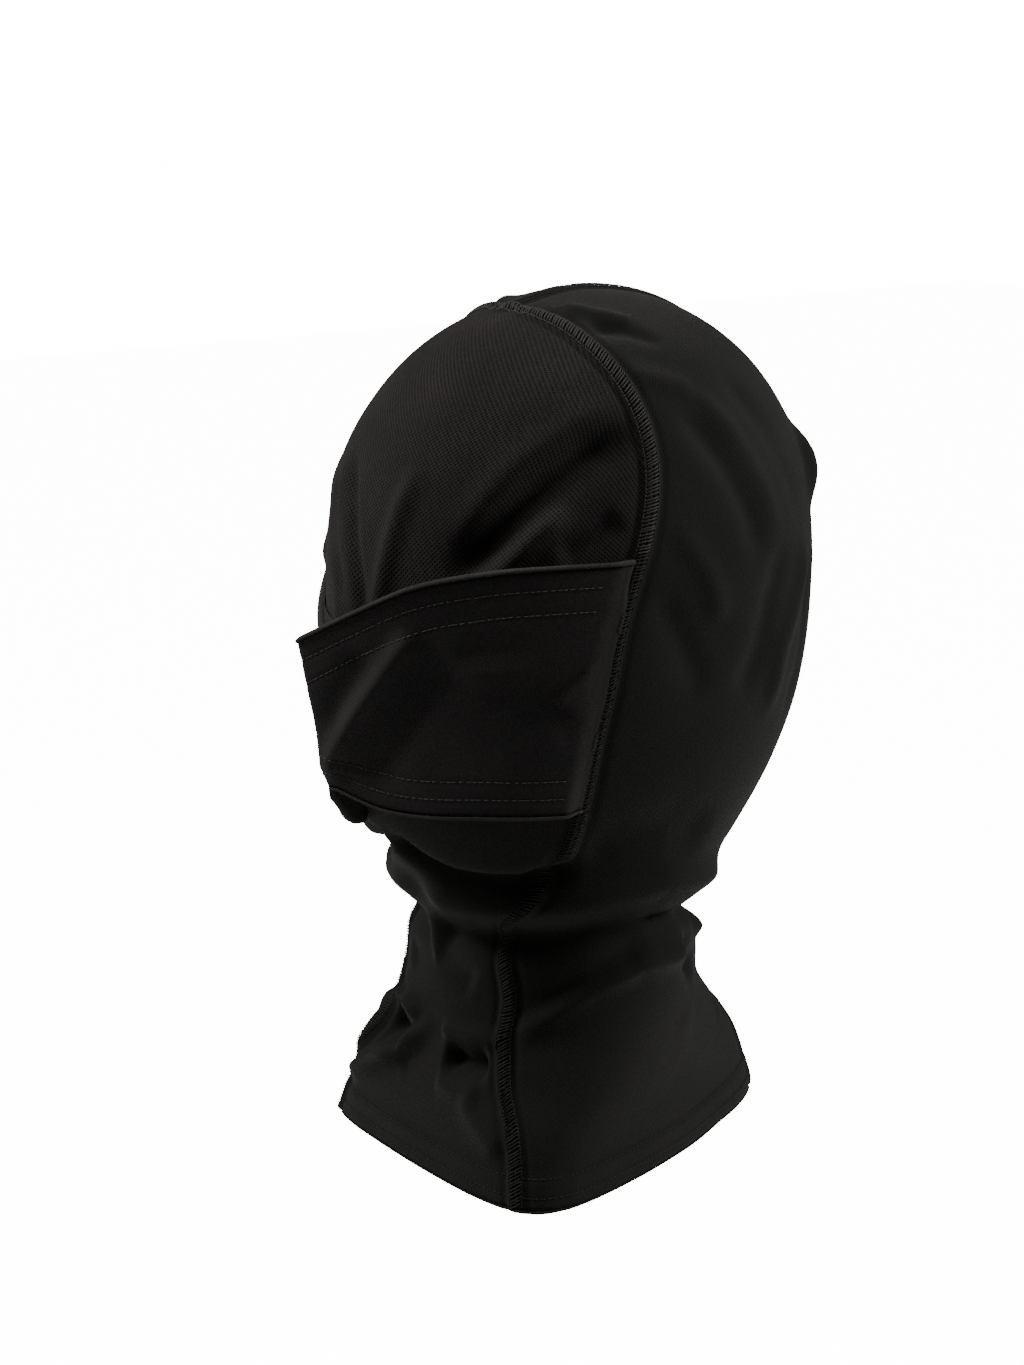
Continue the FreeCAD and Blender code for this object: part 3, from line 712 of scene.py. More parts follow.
@dataclass
class Drape:
    """The hood's surface with its folds, seams' ridges and soft unevenness."""

    form: HoodForm
    folds: tuple[Fold, ...] = HOOD_FOLDS
    seam_rise: float = 0.7
    seam_width: float = 3.0
    groove: float = 0.6
    groove_width: float = 1.2
    groove_gap: float = 1.4
    hem_rise: float = 0.5
    hem_depth: float = 10.5
    lowest: float = -196.0
    side_seam_top: float = 131.5
    crown_top: float = 133.9
    centre_seam_front: float = 129.5

    def __post_init__(self) -> None:
        """Work out the seams' lines on the smooth form."""
        heights = np.linspace(self.lowest, self.side_seam_top, 240)
        angles = self.form.seam_angle(heights)
        self.side_seam = self.form.point(angles, heights)
        turn = np.full(200, -math.pi / 2)
        back = self.form.point(turn, np.linspace(self.lowest, self.crown_top, 200))
        front = self.form.point(-turn[:40], np.linspace(self.crown_top, self.centre_seam_front, 40))
        self.back_seam = np.concatenate([back, front])

    def normal(self, angle: Array, height: Array) -> Array:
        """Outward normals of the smooth form."""
        turn, step = 0.03, 0.8
        top = self.form.crown_height - 0.02
        low, high = np.minimum(height - step, top - 2 * step), np.minimum(height + step, top)
        around = self.form.point(angle + turn, height) - self.form.point(angle - turn, height)
        upward = self.form.point(angle, high) - self.form.point(angle, low)
        return unit(np.cross(upward, around))

    def unevenness(self, points: Array) -> Array:
        """Slow random-looking swells of the cloth."""
        x, y, z = points[:, 0] / 23.0, points[:, 1] / 27.0, points[:, 2] / 31.0
        swell = np.sin(x + 1.7 * np.sin(y * 1.3 + 0.4)) * np.sin(z * 1.6 + np.sin(x * 1.1) + 1.1)
        ripple = np.sin(2.3 * y + 1.9 * z + 0.8 * np.sin(2.1 * x)) * np.sin(1.7 * x - 2.2 * z)
        return 0.45 * swell + 0.25 * ripple

    def lift(self, points: Array) -> Array:
        """Total lift of every point along its normal."""
        total = self.unevenness(points)
        for fold in self.folds:
            total += fold.lift(points)
        mirror = np.array([-1.0, 1.0, 1.0])
        for line in (self.side_seam, self.side_seam * mirror, self.back_seam):
            gap, _ = distance_to_path(points, line[::3])
            total += self.seam_rise * np.exp(-(gap / self.seam_width) ** 4)
            beside = gap - self.seam_width - self.groove_gap
            total -= self.groove * np.exp(-(beside / self.groove_width) ** 2)
        above = points[:, 2] - self.form.hem_lift(points[:, 1])
        total += self.hem_rise * smooth_step((self.hem_depth + 1.0 - above) / 2.0)
        return total

    def surface(self, angle: Array, height: Array) -> Array:
        """Draped points for grids of angles and heights."""
        base = self.form.point(angle, height)
        normals = self.normal(angle, height)
        lift = self.lift(base.reshape(-1, 3)).reshape(base.shape[:-1])
        return base + normals * lift[..., None]


@dataclass
class PanelGrid:
    """A panel's grid: draped points, and flat cloth coordinates in millimetres."""

    points: Array
    flat: Array


@dataclass
class Hood:
    """The hood: its knitted panels, flatlock seams, bindings, neck hem and label."""

    wardrobe: Wardrobe
    form: HoodForm
    drape: Drape
    cloth: float = 1.2
    row_step: float = 1.5
    column_step: float = 1.5
    seam_step: float = 0.8
    edge_fade: float = 34.0
    hem_rows: tuple[float, float] = (4.0, 10.5)
    binding_width: float = 7.0
    binding_rise: float = 0.8
    fold: float = 1.0
    hem_depth: float = 13.0
    temple_height: float = 52.0
    label_half_width: float = 15.0
    label_bottom: float = -159.0
    label_top: float = -142.0
    label_cloth: float = 0.35

    def heights(self, low: float, high: float) -> Array:
        """Row heights that are evenly spaced over the cloth, even where the crown levels out."""
        dense = np.linspace(low, min(high, self.form.crown_height - 0.004), 4000)
        profile = self.form.point(np.full(4000, -math.pi / 4), dense)
        steps = travel(profile)
        return np.interp(np.linspace(0.0, steps[-1], int(steps[-1] / self.row_step)), steps, dense)

    def grid(self, heights: Array, start: Callable[[Array], Array], end: Callable[[Array], Array],
             edge: Callable[[Array], Array] | None, at_bottom: bool = True) -> PanelGrid:
        """Grid of a panel between two angles, with one edge following a curve.

        Args:
            heights: Nominal height of every row.
            start: Angle of the first column at a height.
            end: Angle of the last column at a height.
            edge: Height of the shaped edge at a place in side view, or None.
            at_bottom: Whether the shaped edge is the lower one.

        Returns:
            The draped grid.
        """
        dense = 260
        share = np.linspace(0.0, 1.0, dense)[None, :]
        first, last = start(heights)[:, None], end(heights)[:, None]
        angle = first + (last - first) * share
        height = np.repeat(heights[:, None], dense, 1)
        if edge is not None:
            nominal = heights[0] if at_bottom else heights[-1]
            fade = 1.0 - smooth_step(np.abs(heights - nominal) / self.edge_fade)[:, None]
            for _ in range(3):
                y = self.form.point(angle, height)[..., 1]
                height = heights[:, None] + (edge(y) - nominal) * fade
                first = start(height[:, 0])[:, None]
                last = end(height[:, -1])[:, None]
                angle = first + (last - first) * share
        base = self.form.point(angle, height)
        widest = np.linalg.norm(np.diff(base, axis=1), axis=2).sum(1).max()
        columns = max(8, int(widest / self.column_step))
        even_angle = np.empty((len(heights), columns))
        even_height = np.empty((len(heights), columns))
        along = np.empty((len(heights), columns))
        for row in range(len(heights)):
            lengths = travel(base[row])
            along[row] = np.linspace(0.0, lengths[-1], columns)
            even_angle[row] = np.interp(along[row], lengths, angle[row])
            even_height[row] = np.interp(along[row], lengths, height[row])
        points = self.drape.surface(even_angle, even_height)
        up = row_travel(points)
        middle = start(heights[:1])[0] > math.pi / 4 or end(heights[:1])[0] > math.pi / 4
        centre = along[:, -1:] / 2 if middle else along[:, -1:]
        flat = np.stack([along - centre, np.repeat(up[:, None], columns, 1)], -1)
        return PanelGrid(points, flat)

    def seam(self, height: Array) -> Array:
        """Angle of the left seam."""
        return self.form.seam_angle(height)

    def other_seam(self, height: Array) -> Array:
        """Angle of the right seam."""
        return math.pi - self.form.seam_angle(height)

    def make_panels(self) -> None:
        """Build and dress the four panels."""
        form = self.form
        seam_top = self.crown_seam_height()
        brow = self.heights(26.0, seam_top - 0.01)
        chin = self.heights(form.hem_front_z, -10.0)
        whole = self.heights(form.hem_front_z, form.crown_height)
        hem = form.hem_lift
        self.grids = {
            "forehead_cloth": self.grid(brow, self.other_seam, self.seam,
                                        lambda y: read_line(form.brow_edge, y)),
            "throat_cloth": self.throat_grid(chin, hem),
            "rear_cloth_left": self.grid(whole, self.seam, lambda h: np.full_like(h, -math.pi / 2), hem),
            "rear_cloth_right": self.grid(whole, lambda h: np.full_like(h, 1.5 * math.pi),
                                          self.other_seam, hem),
        }
        nodes = {"forehead_cloth": "forehead_panel", "throat_cloth": "throat_panel",
                 "rear_cloth_left": "rear_panel_left", "rear_cloth_right": "rear_panel_right"}
        for name, grid in self.grids.items():
            parts = MeshParts(name)
            parts.sheet(grid.points, grid.flat, self.cloth)
            piece = parts.build()
            eyelet = name == "forehead_cloth"
            dress(piece, self.wardrobe.eyelet if eyelet else self.wardrobe.hood,
                  "eyelet_jersey" if eyelet else "hood_jersey", "hood", nodes[name])
            declare_cloth(grid.points)
        self.tree = cloth_tree([grid.points for grid in self.grids.values()])

    def throat_grid(self, heights: Array, hem: Callable[[Array], Array]) -> PanelGrid:
        """Grid of the throat panel, shaped by the hem below and the chin edge above."""
        lower = self.grid(heights, self.other_seam, self.seam, hem)
        upper = self.grid(heights, self.other_seam, self.seam,
                          lambda y: read_line(self.form.chin_edge, y), at_bottom=False)
        share = smooth_step(np.linspace(0.0, 1.0, len(heights)) * 3.0 - 1.0)[:, None, None]
        columns = min(lower.points.shape[1], upper.points.shape[1])
        low, high = (resample_columns(g.points, columns) for g in (lower, upper))
        flat = resample_columns(lower.flat, columns)
        return PanelGrid(low * (1 - share) + high * share, flat)

    def crown_seam_height(self) -> float:
        """Height at which the crown seam crosses the mid-plane."""
        heights = np.linspace(110.0, self.form.crown_height - 0.5, 2000)
        angles = self.form.seam_angle(heights)
        return float(heights[np.argmax(angles >= math.pi / 2 - 1e-3)])

    def seam_line(self, side: Side, low: float, high: float) -> Array:
        """Draped line of a side seam between two heights, evenly spaced."""
        heights = np.linspace(low, high, 900)
        angle = self.form.seam_angle(heights)
        if side is Side.RIGHT:
            angle = math.pi - angle
        line = self.drape.surface(angle[None, :], heights[None, :])[0]
        return evenly(line, int(travel(line)[-1] / self.seam_step))[0]

    def centre_line(self) -> Array:
        """Line of the centre-back seam, from the hem up to the crown seam."""
        heights = self.heights(self.form.hem_back_z, self.form.crown_height)
        back = self.drape.surface(np.full((1, len(heights)), -math.pi / 2), heights[None, :])[0]
        top = self.crown_seam_height()
        over = np.linspace(self.form.crown_height - 0.01, top, 60)
        ahead = self.drape.surface(np.full((1, 60), math.pi / 2), over[None, :])[0]
        line = np.concatenate([back, ahead])
        return evenly(line, int(travel(line)[-1] / self.seam_step))[0]

    def make_seams(self) -> None:
        """Sew the flatlock seams."""
        low = self.form.hem_front_z
        top = self.crown_seam_height()
        temple = self.temple_height
        left, right = (self.seam_line(side, temple, top - 0.05) for side in (Side.LEFT, Side.RIGHT))
        sewing = Sewing(self.tree)
        crown = MeshParts("crown_seam_threads")
        sewing.flatlock(crown, np.concatenate([left, right[::-1]]), 1.3)
        dress(crown.build(), self.wardrobe.lit_crown_thread, "thread", "hood", "crown_seam")
        for side in Side:
            name = f"side_seam_{side.name.lower()}"
            parts = MeshParts(name + "_threads")
            sewing.flatlock(parts, self.seam_line(side, low, temple), 0.9)
            dress(parts.build(), self.wardrobe.seam_thread, "thread", "hood", name)
        back = MeshParts("centre_back_seam_threads")
        sewing.flatlock(back, self.centre_line(), 1.0)
        dress(back.build(), self.wardrobe.seam_thread, "thread", "hood", "centre_back_seam")

    def make_bindings(self) -> None:
        """Wrap the brow and chin edges in ribbed elastic."""
        for name, node, row, inward in (("forehead_cloth", "brow_binding", 0, 1),
                                        ("throat_cloth", "chin_binding", -1, -1)):
            grid = self.grids[name].points
            normals = grid_normals(grid)
            steps = int(self.binding_width / self.row_step)
            rows = [grid[row + inward * k] for k in range(steps + 1)]
            outs = [normals[row + inward * k] for k in range(steps + 1)]
            outside = [r + o * self.binding_rise for r, o in zip(rows, outs)]
            inside = [r - o * (self.cloth + self.binding_rise) for r, o in zip(rows, outs)]
            below = unit(rows[0] - rows[1])
            lip = [rows[0] + below * 1.1 + outs[0] * (self.binding_rise - 0.6),
                   rows[0] + below * 1.4 - outs[0] * self.cloth / 2,
                   rows[0] + below * 1.1 - outs[0] * (self.cloth + self.binding_rise - 0.6)]
            wrap = np.stack(outside[::-1] + lip + inside)
            flat = np.stack(np.meshgrid(travel(rows[0]), row_travel(wrap)), -1)
            parts = MeshParts(node + "_elastic")
            parts.sheet(wrap[:, ::-1] if row == 0 else wrap, flat, 0.35)
            dress(parts.build(), self.wardrobe.binding, "elastic_binding", "hood", node)

    def make_hem(self) -> None:
        """Turn the neck hem in and sew it with two rows of stitches."""
        pieces = (("throat_cloth", "neck_hem_front", "neck_stitching_front"),
                  ("rear_cloth_left", "neck_hem_rear_left", "neck_stitching_rear_left"),
                  ("rear_cloth_right", "neck_hem_rear_right", "neck_stitching_rear_right"))
        for name, hem_node, row_node in pieces:
            grid = self.grids[name]
            steps = int(self.hem_depth / self.row_step)
            rows = grid.points[:steps + 1]
            outs = grid_normals(grid.points)[:steps + 1]
            below = unit(rows[0] - rows[1])
            fold = self.cloth + self.fold
            lip = [rows[0] + below * 0.2, rows[0] + below * 0.8 - outs[0] * 0.7,
                   rows[0] + below * 0.8 - outs[0] * 1.5]
            inside = [rows[k] - outs[k] * fold for k in range(steps + 1)]
            wrap = np.stack(lip + inside)
            flat = np.concatenate([grid.flat[:3], grid.flat[:steps + 1]])
            parts = MeshParts(hem_node + "_fold")
            parts.sheet(wrap, flat, 0.6)
            dress(parts.build(), self.wardrobe.hood, "hood_jersey", "hood", hem_node)
            stitches = MeshParts(row_node + "_dashes")
            for offset in self.hem_rows:
                share = offset / self.row_step
                index = int(share)
                line = grid.points[index] * (1 - share + index) + grid.points[index + 1] * (share - index)
                Sewing(self.tree).dashes(stitches, line)
            dress(stitches.build(), self.wardrobe.seam_thread, "thread", "hood", row_node)

    def make_label(self) -> None:
        """Sew a blank care label inside the nape."""
        rows, columns = 14, 24
        across = np.linspace(-self.label_half_width, self.label_half_width, columns)
        up = np.linspace(self.label_bottom, self.label_top, rows)
        inside_y = 40.0
        gap = 0.5
        grid = np.empty((rows, columns, 3))
        for r in range(rows):
            for c in range(columns):
                start = Vector((float(across[c]), inside_y, float(up[r])))
                hit, _, _, _ = self.tree.ray_cast(start, Vector((0, 1, 0)))
                curl = 0.5 * math.sin(across[c] / 5.0) + 1.2 * (1 - r / (rows - 1)) ** 2
                grid[r, c] = (hit.x, hit.y - self.cloth - self.fold - gap - curl, hit.z)
        flat = np.stack(np.meshgrid(across, up), -1)
        parts = MeshParts("care_label_tape")
        parts.sheet(grid, flat, self.label_cloth)
        dress(parts.build(), self.wardrobe.label, "label_tape", "hood", "care_label")


@dataclass
class Sewing:
    """Threads laid on the cloth."""

    cloth: BVHTree
    flatlock_half_width: float = 2.6
    flatlock_pitch: float = 1.25
    thread_radius: float = 0.25
    dash: float = 1.75
    dash_pitch: float = 2.35
    fine_step: float = 0.25

    def lay(self, points: Array, heights: Array) -> Array:
        """Points moved onto the cloth and then off it by given heights."""
        laid = np.empty_like(points)
        for index, (point, height) in enumerate(zip(points.tolist(), heights.tolist())):
            place, normal, _, _ = self.cloth.find_nearest(Vector(point))
            outward = normal if normal.dot(Vector(point) - Vector((0.0, 0.0, point[2]))) > 0 else -normal
            laid[index] = place + outward * height
        return laid

    def frame_along(self, line: Array) -> tuple[Array, Array]:
        """Directions along a line and across it within the cloth."""
        along = unit(np.gradient(line, axis=0))
        outward = np.empty_like(line)
        for index, point in enumerate(line.tolist()):
            _, normal, _, _ = self.cloth.find_nearest(Vector(point))
            outward[index] = normal
        kernel = np.ones(9) / 9
        for axis in range(3):
            padded = np.pad(outward[:, axis], 4, mode="edge")
            outward[:, axis] = np.convolve(padded, kernel, mode="valid")
        return along, unit(np.cross(along, unit(outward)))

    def flatlock(self, parts: MeshParts, line: Array, strength: float) -> None:
        """Sew a flatlock seam: slanted cover stitches over the join, and a needle row each side.

        Args:
            parts: Where the threads go.
            line: The seam's line, evenly spaced.
            strength: Thickness of the threads against the usual one.
        """
        count = int(travel(line)[-1] / self.flatlock_pitch)
        nodes, _ = evenly(line, count + 1)
        _, across = self.frame_along(nodes)
        radius = self.thread_radius * strength
        half = self.flatlock_half_width
        bends = np.array([-1.0, -0.55, 0.0, 0.55, 1.0])
        arch = np.array([-0.25, 0.28, 0.42, 0.28, -0.25]) * strength + 0.1
        for index in range(count):
            sway = 0.12 * math.sin(index * 2.4) + 0.1 * math.sin(index * 5.3)
            here, there = nodes[index], nodes[index + 1]
            side = across[index]
            line_points = [here + (there - here) * (0.5 + 1.1 * b + sway) + side * b * half for b in bends]
            parts.tube(self.lay(np.array(line_points), arch), radius, 5)
        for offset in (-half, half):
            row = nodes + across * offset
            self.dashes(parts, row, radius * 0.85, self.flatlock_pitch * 0.8, self.flatlock_pitch)

    def dashes(self, parts: MeshParts, line: Array, radius: float = 0.17, dash: float = 0.0,
               pitch: float = 0.0) -> None:
        """Sew a row of separate stitches along a line.

        Args:
            parts: Where the stitches go.
            line: The row's line.
            radius: Radius of the thread.
            dash: Length of one stitch, or 0 for the usual one.
            pitch: Distance from one stitch to the next, or 0 for the usual one.
        """
        dash, pitch = dash or self.dash, pitch or self.dash_pitch
        dense, along = evenly(line, max(8, int(travel(line)[-1] / self.fine_step)))
        for index in range(int(along[-1] / pitch)):
            start = index * pitch + 0.15 * pitch * math.sin(index * 1.7)
            places = start + dash * np.array([0.0, 0.2, 0.5, 0.8, 1.0])
            points = np.stack([np.interp(places, along, dense[:, k]) for k in range(3)], 1)
            parts.tube(self.lay(points, np.array([-0.2, 0.14, 0.22, 0.14, -0.2])), radius, 5)


def resample_columns(values: Array, columns: int) -> Array:
    """The grid with another number of columns."""
    old = np.linspace(0.0, 1.0, values.shape[1])
    new = np.linspace(0.0, 1.0, columns)
    rows = [np.stack([np.interp(new, old, row[:, k]) for k in range(values.shape[2])], 1) for row in values]
    return np.stack(rows)


def cloth_tree(grids: list[Array]) -> BVHTree:
    """Search tree of the cloth's outer face, in millimetres."""
    vertices: list[tuple[float, ...]] = []
    faces: list[tuple[int, ...]] = []
    for grid in grids:
        rows, columns = grid.shape[:2]
        index = np.arange(rows * columns).reshape(rows, columns) + len(vertices)
        vertices.extend(map(tuple, grid.reshape(-1, 3).tolist()))
        quads = zip(index[:-1, :-1].ravel().tolist(), index[:-1, 1:].ravel().tolist(),
                    index[1:, 1:].ravel().tolist(), index[1:, :-1].ravel().tolist())
        faces.extend(quads)
    return BVHTree.FromPolygons(vertices, faces)


def dress(piece: bpy.types.Object, material: bpy.types.Material, slot: str, body: str, *nodes: str) -> None:
    """Give a piece its material and body, and let it stand for CAD nodes.

    Args:
        piece: The finished mesh object.
        material: Its material.
        slot: Not used.
        body: The body it rides on.
        nodes: CAD nodes that it replaces.
    """
    piece.data.materials.append(material)
    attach(piece, body)
    if nodes:
        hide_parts(*nodes)
    LOG.info("%s rides on %s and replaces %s", piece.name, body, ", ".join(nodes) or "nothing")


def declare_cloth(grid: Array) -> None:
    """Work out a panel's flat width, length and cloth area; nothing is done with them.

    Args:
        grid: Its outer face, in millimetres.
    """
    across = np.linalg.norm(np.diff(grid, axis=1), axis=2).sum(1)
    up = np.linalg.norm(np.diff(grid, axis=0), axis=2).sum(0)
    width, length = float(across.max()) * MM, float(up.max()) * MM
    rises, runs = grid[1:, :-1] - grid[:-1, :-1], grid[:-1, 1:] - grid[:-1, :-1]
    area = float(np.linalg.norm(np.cross(rises, runs), axis=2).sum()) * MM * MM
    area = min(max(area, 0.31 * width * length), width * length)


# ---------------------------------------------------------------------------------------------
# The face mask
# ---------------------------------------------------------------------------------------------


@dataclass(frozen=True)
class MaskForm:
    """Shape of the face mask: two walls that meet in a crease ahead of the face."""

    hood: HoodForm
    gap: float = 2.6
    cloth: float = 1.2
    rear_y: float = -12.0
    crease_reach: float = 20.1
    crease_lean: float = 0.227
    top: float = 49.0
    bottom: float = -38.0
    cheek_top: tuple[float, float] = (3.0, 25.0)
    cheek_bottom: tuple[float, float] = (4.5, 26.0)
    lip_top: tuple[float, float] = (37.0, -7.0)
    lip_bottom: tuple[float, float] = (37.0, 2.0)
    far_lip_top: tuple[float, float] = (52.0, 4.0)
    far_lip_bottom: tuple[float, float] = (54.0, 0.0)
    top_edge: Line = ((-135, -8), (-112.6, 19.7), (-102, 31.7), (-89, 41.8), (-69, 47.5), (-49.5, 49),
                      (-25.4, 49), (0, 49))
    far_top_edge: Line = ((-135, 12), (-112.6, 19.0), (-104, 16.5), (-94, 14), (-82, 15.5), (-69, 27),
                          (-49.5, 43), (-25.4, 49), (0, 49))
    bottom_edge: Line = ((-135, -14), (-100.8, -32.4), (-89.5, -38.5), (-68, -38), (-42, -38), (0, -38))
    far_bottom_edge: Line = ((-135, -16), (-104, -33), (-97.5, -39), (-91, -47), (-84, -50), (-72, -49),
                             (-58, -44), (-42, -38), (0, -38))
    seam_room: float = 3.0
    # the far hem turns in under the chin, below this height and ahead of this place
    foot_height: float = -33.0
    foot_y: float = -62.0
    foot_turn: float = 0.72

    def half_width(self, height: Array, y: Array | float) -> Array:
        """Half width of the hood's front at a height and a place from front to back."""
        front, _, half, power, _, widest = self.hood.section(height)
        share = np.abs(y - widest) / (widest - front)
        return half * (1 - share ** power) ** (1 / power)

    def wall(self, t: Array, height: Array, side: Side) -> Array:
        """Points of one wall, from its rear (t = 0) to the crease (t = 1)."""
        share = (height - self.bottom) / (self.top - self.bottom)
        width, front = self.hood.head_half_width, self.hood.head_front
        lip_top = self.lip_top if side is Side.LEFT else self.far_lip_top
        lip_bottom = self.lip_bottom if side is Side.LEFT else self.far_lip_bottom
        cheek = [self.cheek_bottom[k] + (self.cheek_top[k] - self.cheek_bottom[k]) * share for k in (0, 1)]
        lip = [lip_bottom[k] + (lip_top[k] - lip_bottom[k]) * share for k in (0, 1)]
        rear_x = self.half_width(height, self.rear_y) + self.gap + self.cloth
        corners_x = (rear_x, width - cheek[0], width - lip[0], 0.0)
        corners_y = (self.rear_y, cheek[1] - front, lip[1] - front,
                     -front - self.crease_reach - self.crease_lean * height)
        weights = ((1 - t) ** 3, 3 * t * (1 - t) ** 2, 3 * t * t * (1 - t), t ** 3)
        x = sum(w * c for w, c in zip(weights, corners_x))
        y = sum(w * c for w, c in zip(weights, corners_y))
        if side is Side.RIGHT:
            foot = smooth_step((self.foot_height - height) / 10) * smooth_step((self.foot_y - y) / 20)
            x = x * (1 - self.foot_turn * foot)
        return np.stack([x * side.value, y, height], -1)

    def side_grid(self, side: Side, rows: int, columns: int) -> tuple[Array, Array]:
        """Grid of one wall from its bottom edge up and from its rear edge to the crease.

        Args:
            side: Which wall.
            rows: Number of rows.
            columns: Number of columns.

        Returns:
            The grid's points, and each point's distance from the rear edge.
        """
        top_line = self.top_edge if side is Side.LEFT else self.far_top_edge
        bottom_line = self.bottom_edge if side is Side.LEFT else self.far_bottom_edge
        share_up = np.linspace(0.0, 1.0, rows)[:, None]
        share = np.linspace(0.0, 1.0, columns)[None, :]
        height = self.bottom + (self.top - self.bottom) * np.repeat(share_up, columns, 1)
        t = np.repeat(share, rows, 0)
        probe = np.linspace(0.0, 1.0, 200)
        rear = sorted((z, y - self.seam_room) for y, z in self.hood.seam_line)
        rear_z, rear_y = np.array([p[0] for p in rear]), np.array([p[1] for p in rear])
        for _ in range(8):
            first = np.empty(rows)
            for row in range(rows):
                ys = self.wall(probe, np.full(200, height[row, 0]), side)[:, 1]
                first[row] = np.interp(-np.interp(height[row, 0], rear_z, rear_y), -ys, probe)
            t = first[:, None] + (1 - first[:, None]) * share
            y = self.wall(t, height, side)[..., 1]
            low, high = read_line(bottom_line, y), read_line(top_line, y)
            height = 0.4 * height + 0.6 * (low + (high - low) * share_up)
        points = self.wall(t, height, side)
        steps = np.linalg.norm(np.diff(points, axis=1), axis=2)
        away = np.concatenate([np.zeros((rows, 1)), np.cumsum(steps, axis=1)], 1)
        return points, away


MASK_FOLDS: tuple[Fold, ...] = (
    # bright taut fold from the cheek down to the foot of the crease, and the hollows beside it
    Fold(((38, -86, 30), (32, -90, 20), (17, -99, -4), (6, -103, -22), (1, -104, -34)), 4.2, 4.4, 0.5, 0.14),
    Fold(((24, -97, 20), (12, -103, 0), (5, -106, -14)), 6.0, -1.6, 0.4),
    Fold(((46, -78, 22), (36, -87, 0), (24, -92, -20), (14, -96, -32)), 6.5, -2.2, 0.6),
    # soft level wrinkles over the cheek
    Fold(((60, -58, 30), (52, -70, 31), (44, -80, 29)), 3.0, 0.7, 0.6),
    Fold(((61, -56, 24), (53, -69, 22), (45, -78, 19)), 3.2, -0.9, 0.6),
    Fold(((62, -52, 18), (54, -66, 14), (46, -76, 13)), 3.0, 0.8, 0.6),
    Fold(((64, -50, 8), (58, -60, 3), (50, -70, 2)), 4.0, -0.8, 0.6),
    Fold(((66, -44, -8), (60, -54, -14), (50, -66, -18)), 6.0, 0.9, 0.6),
)


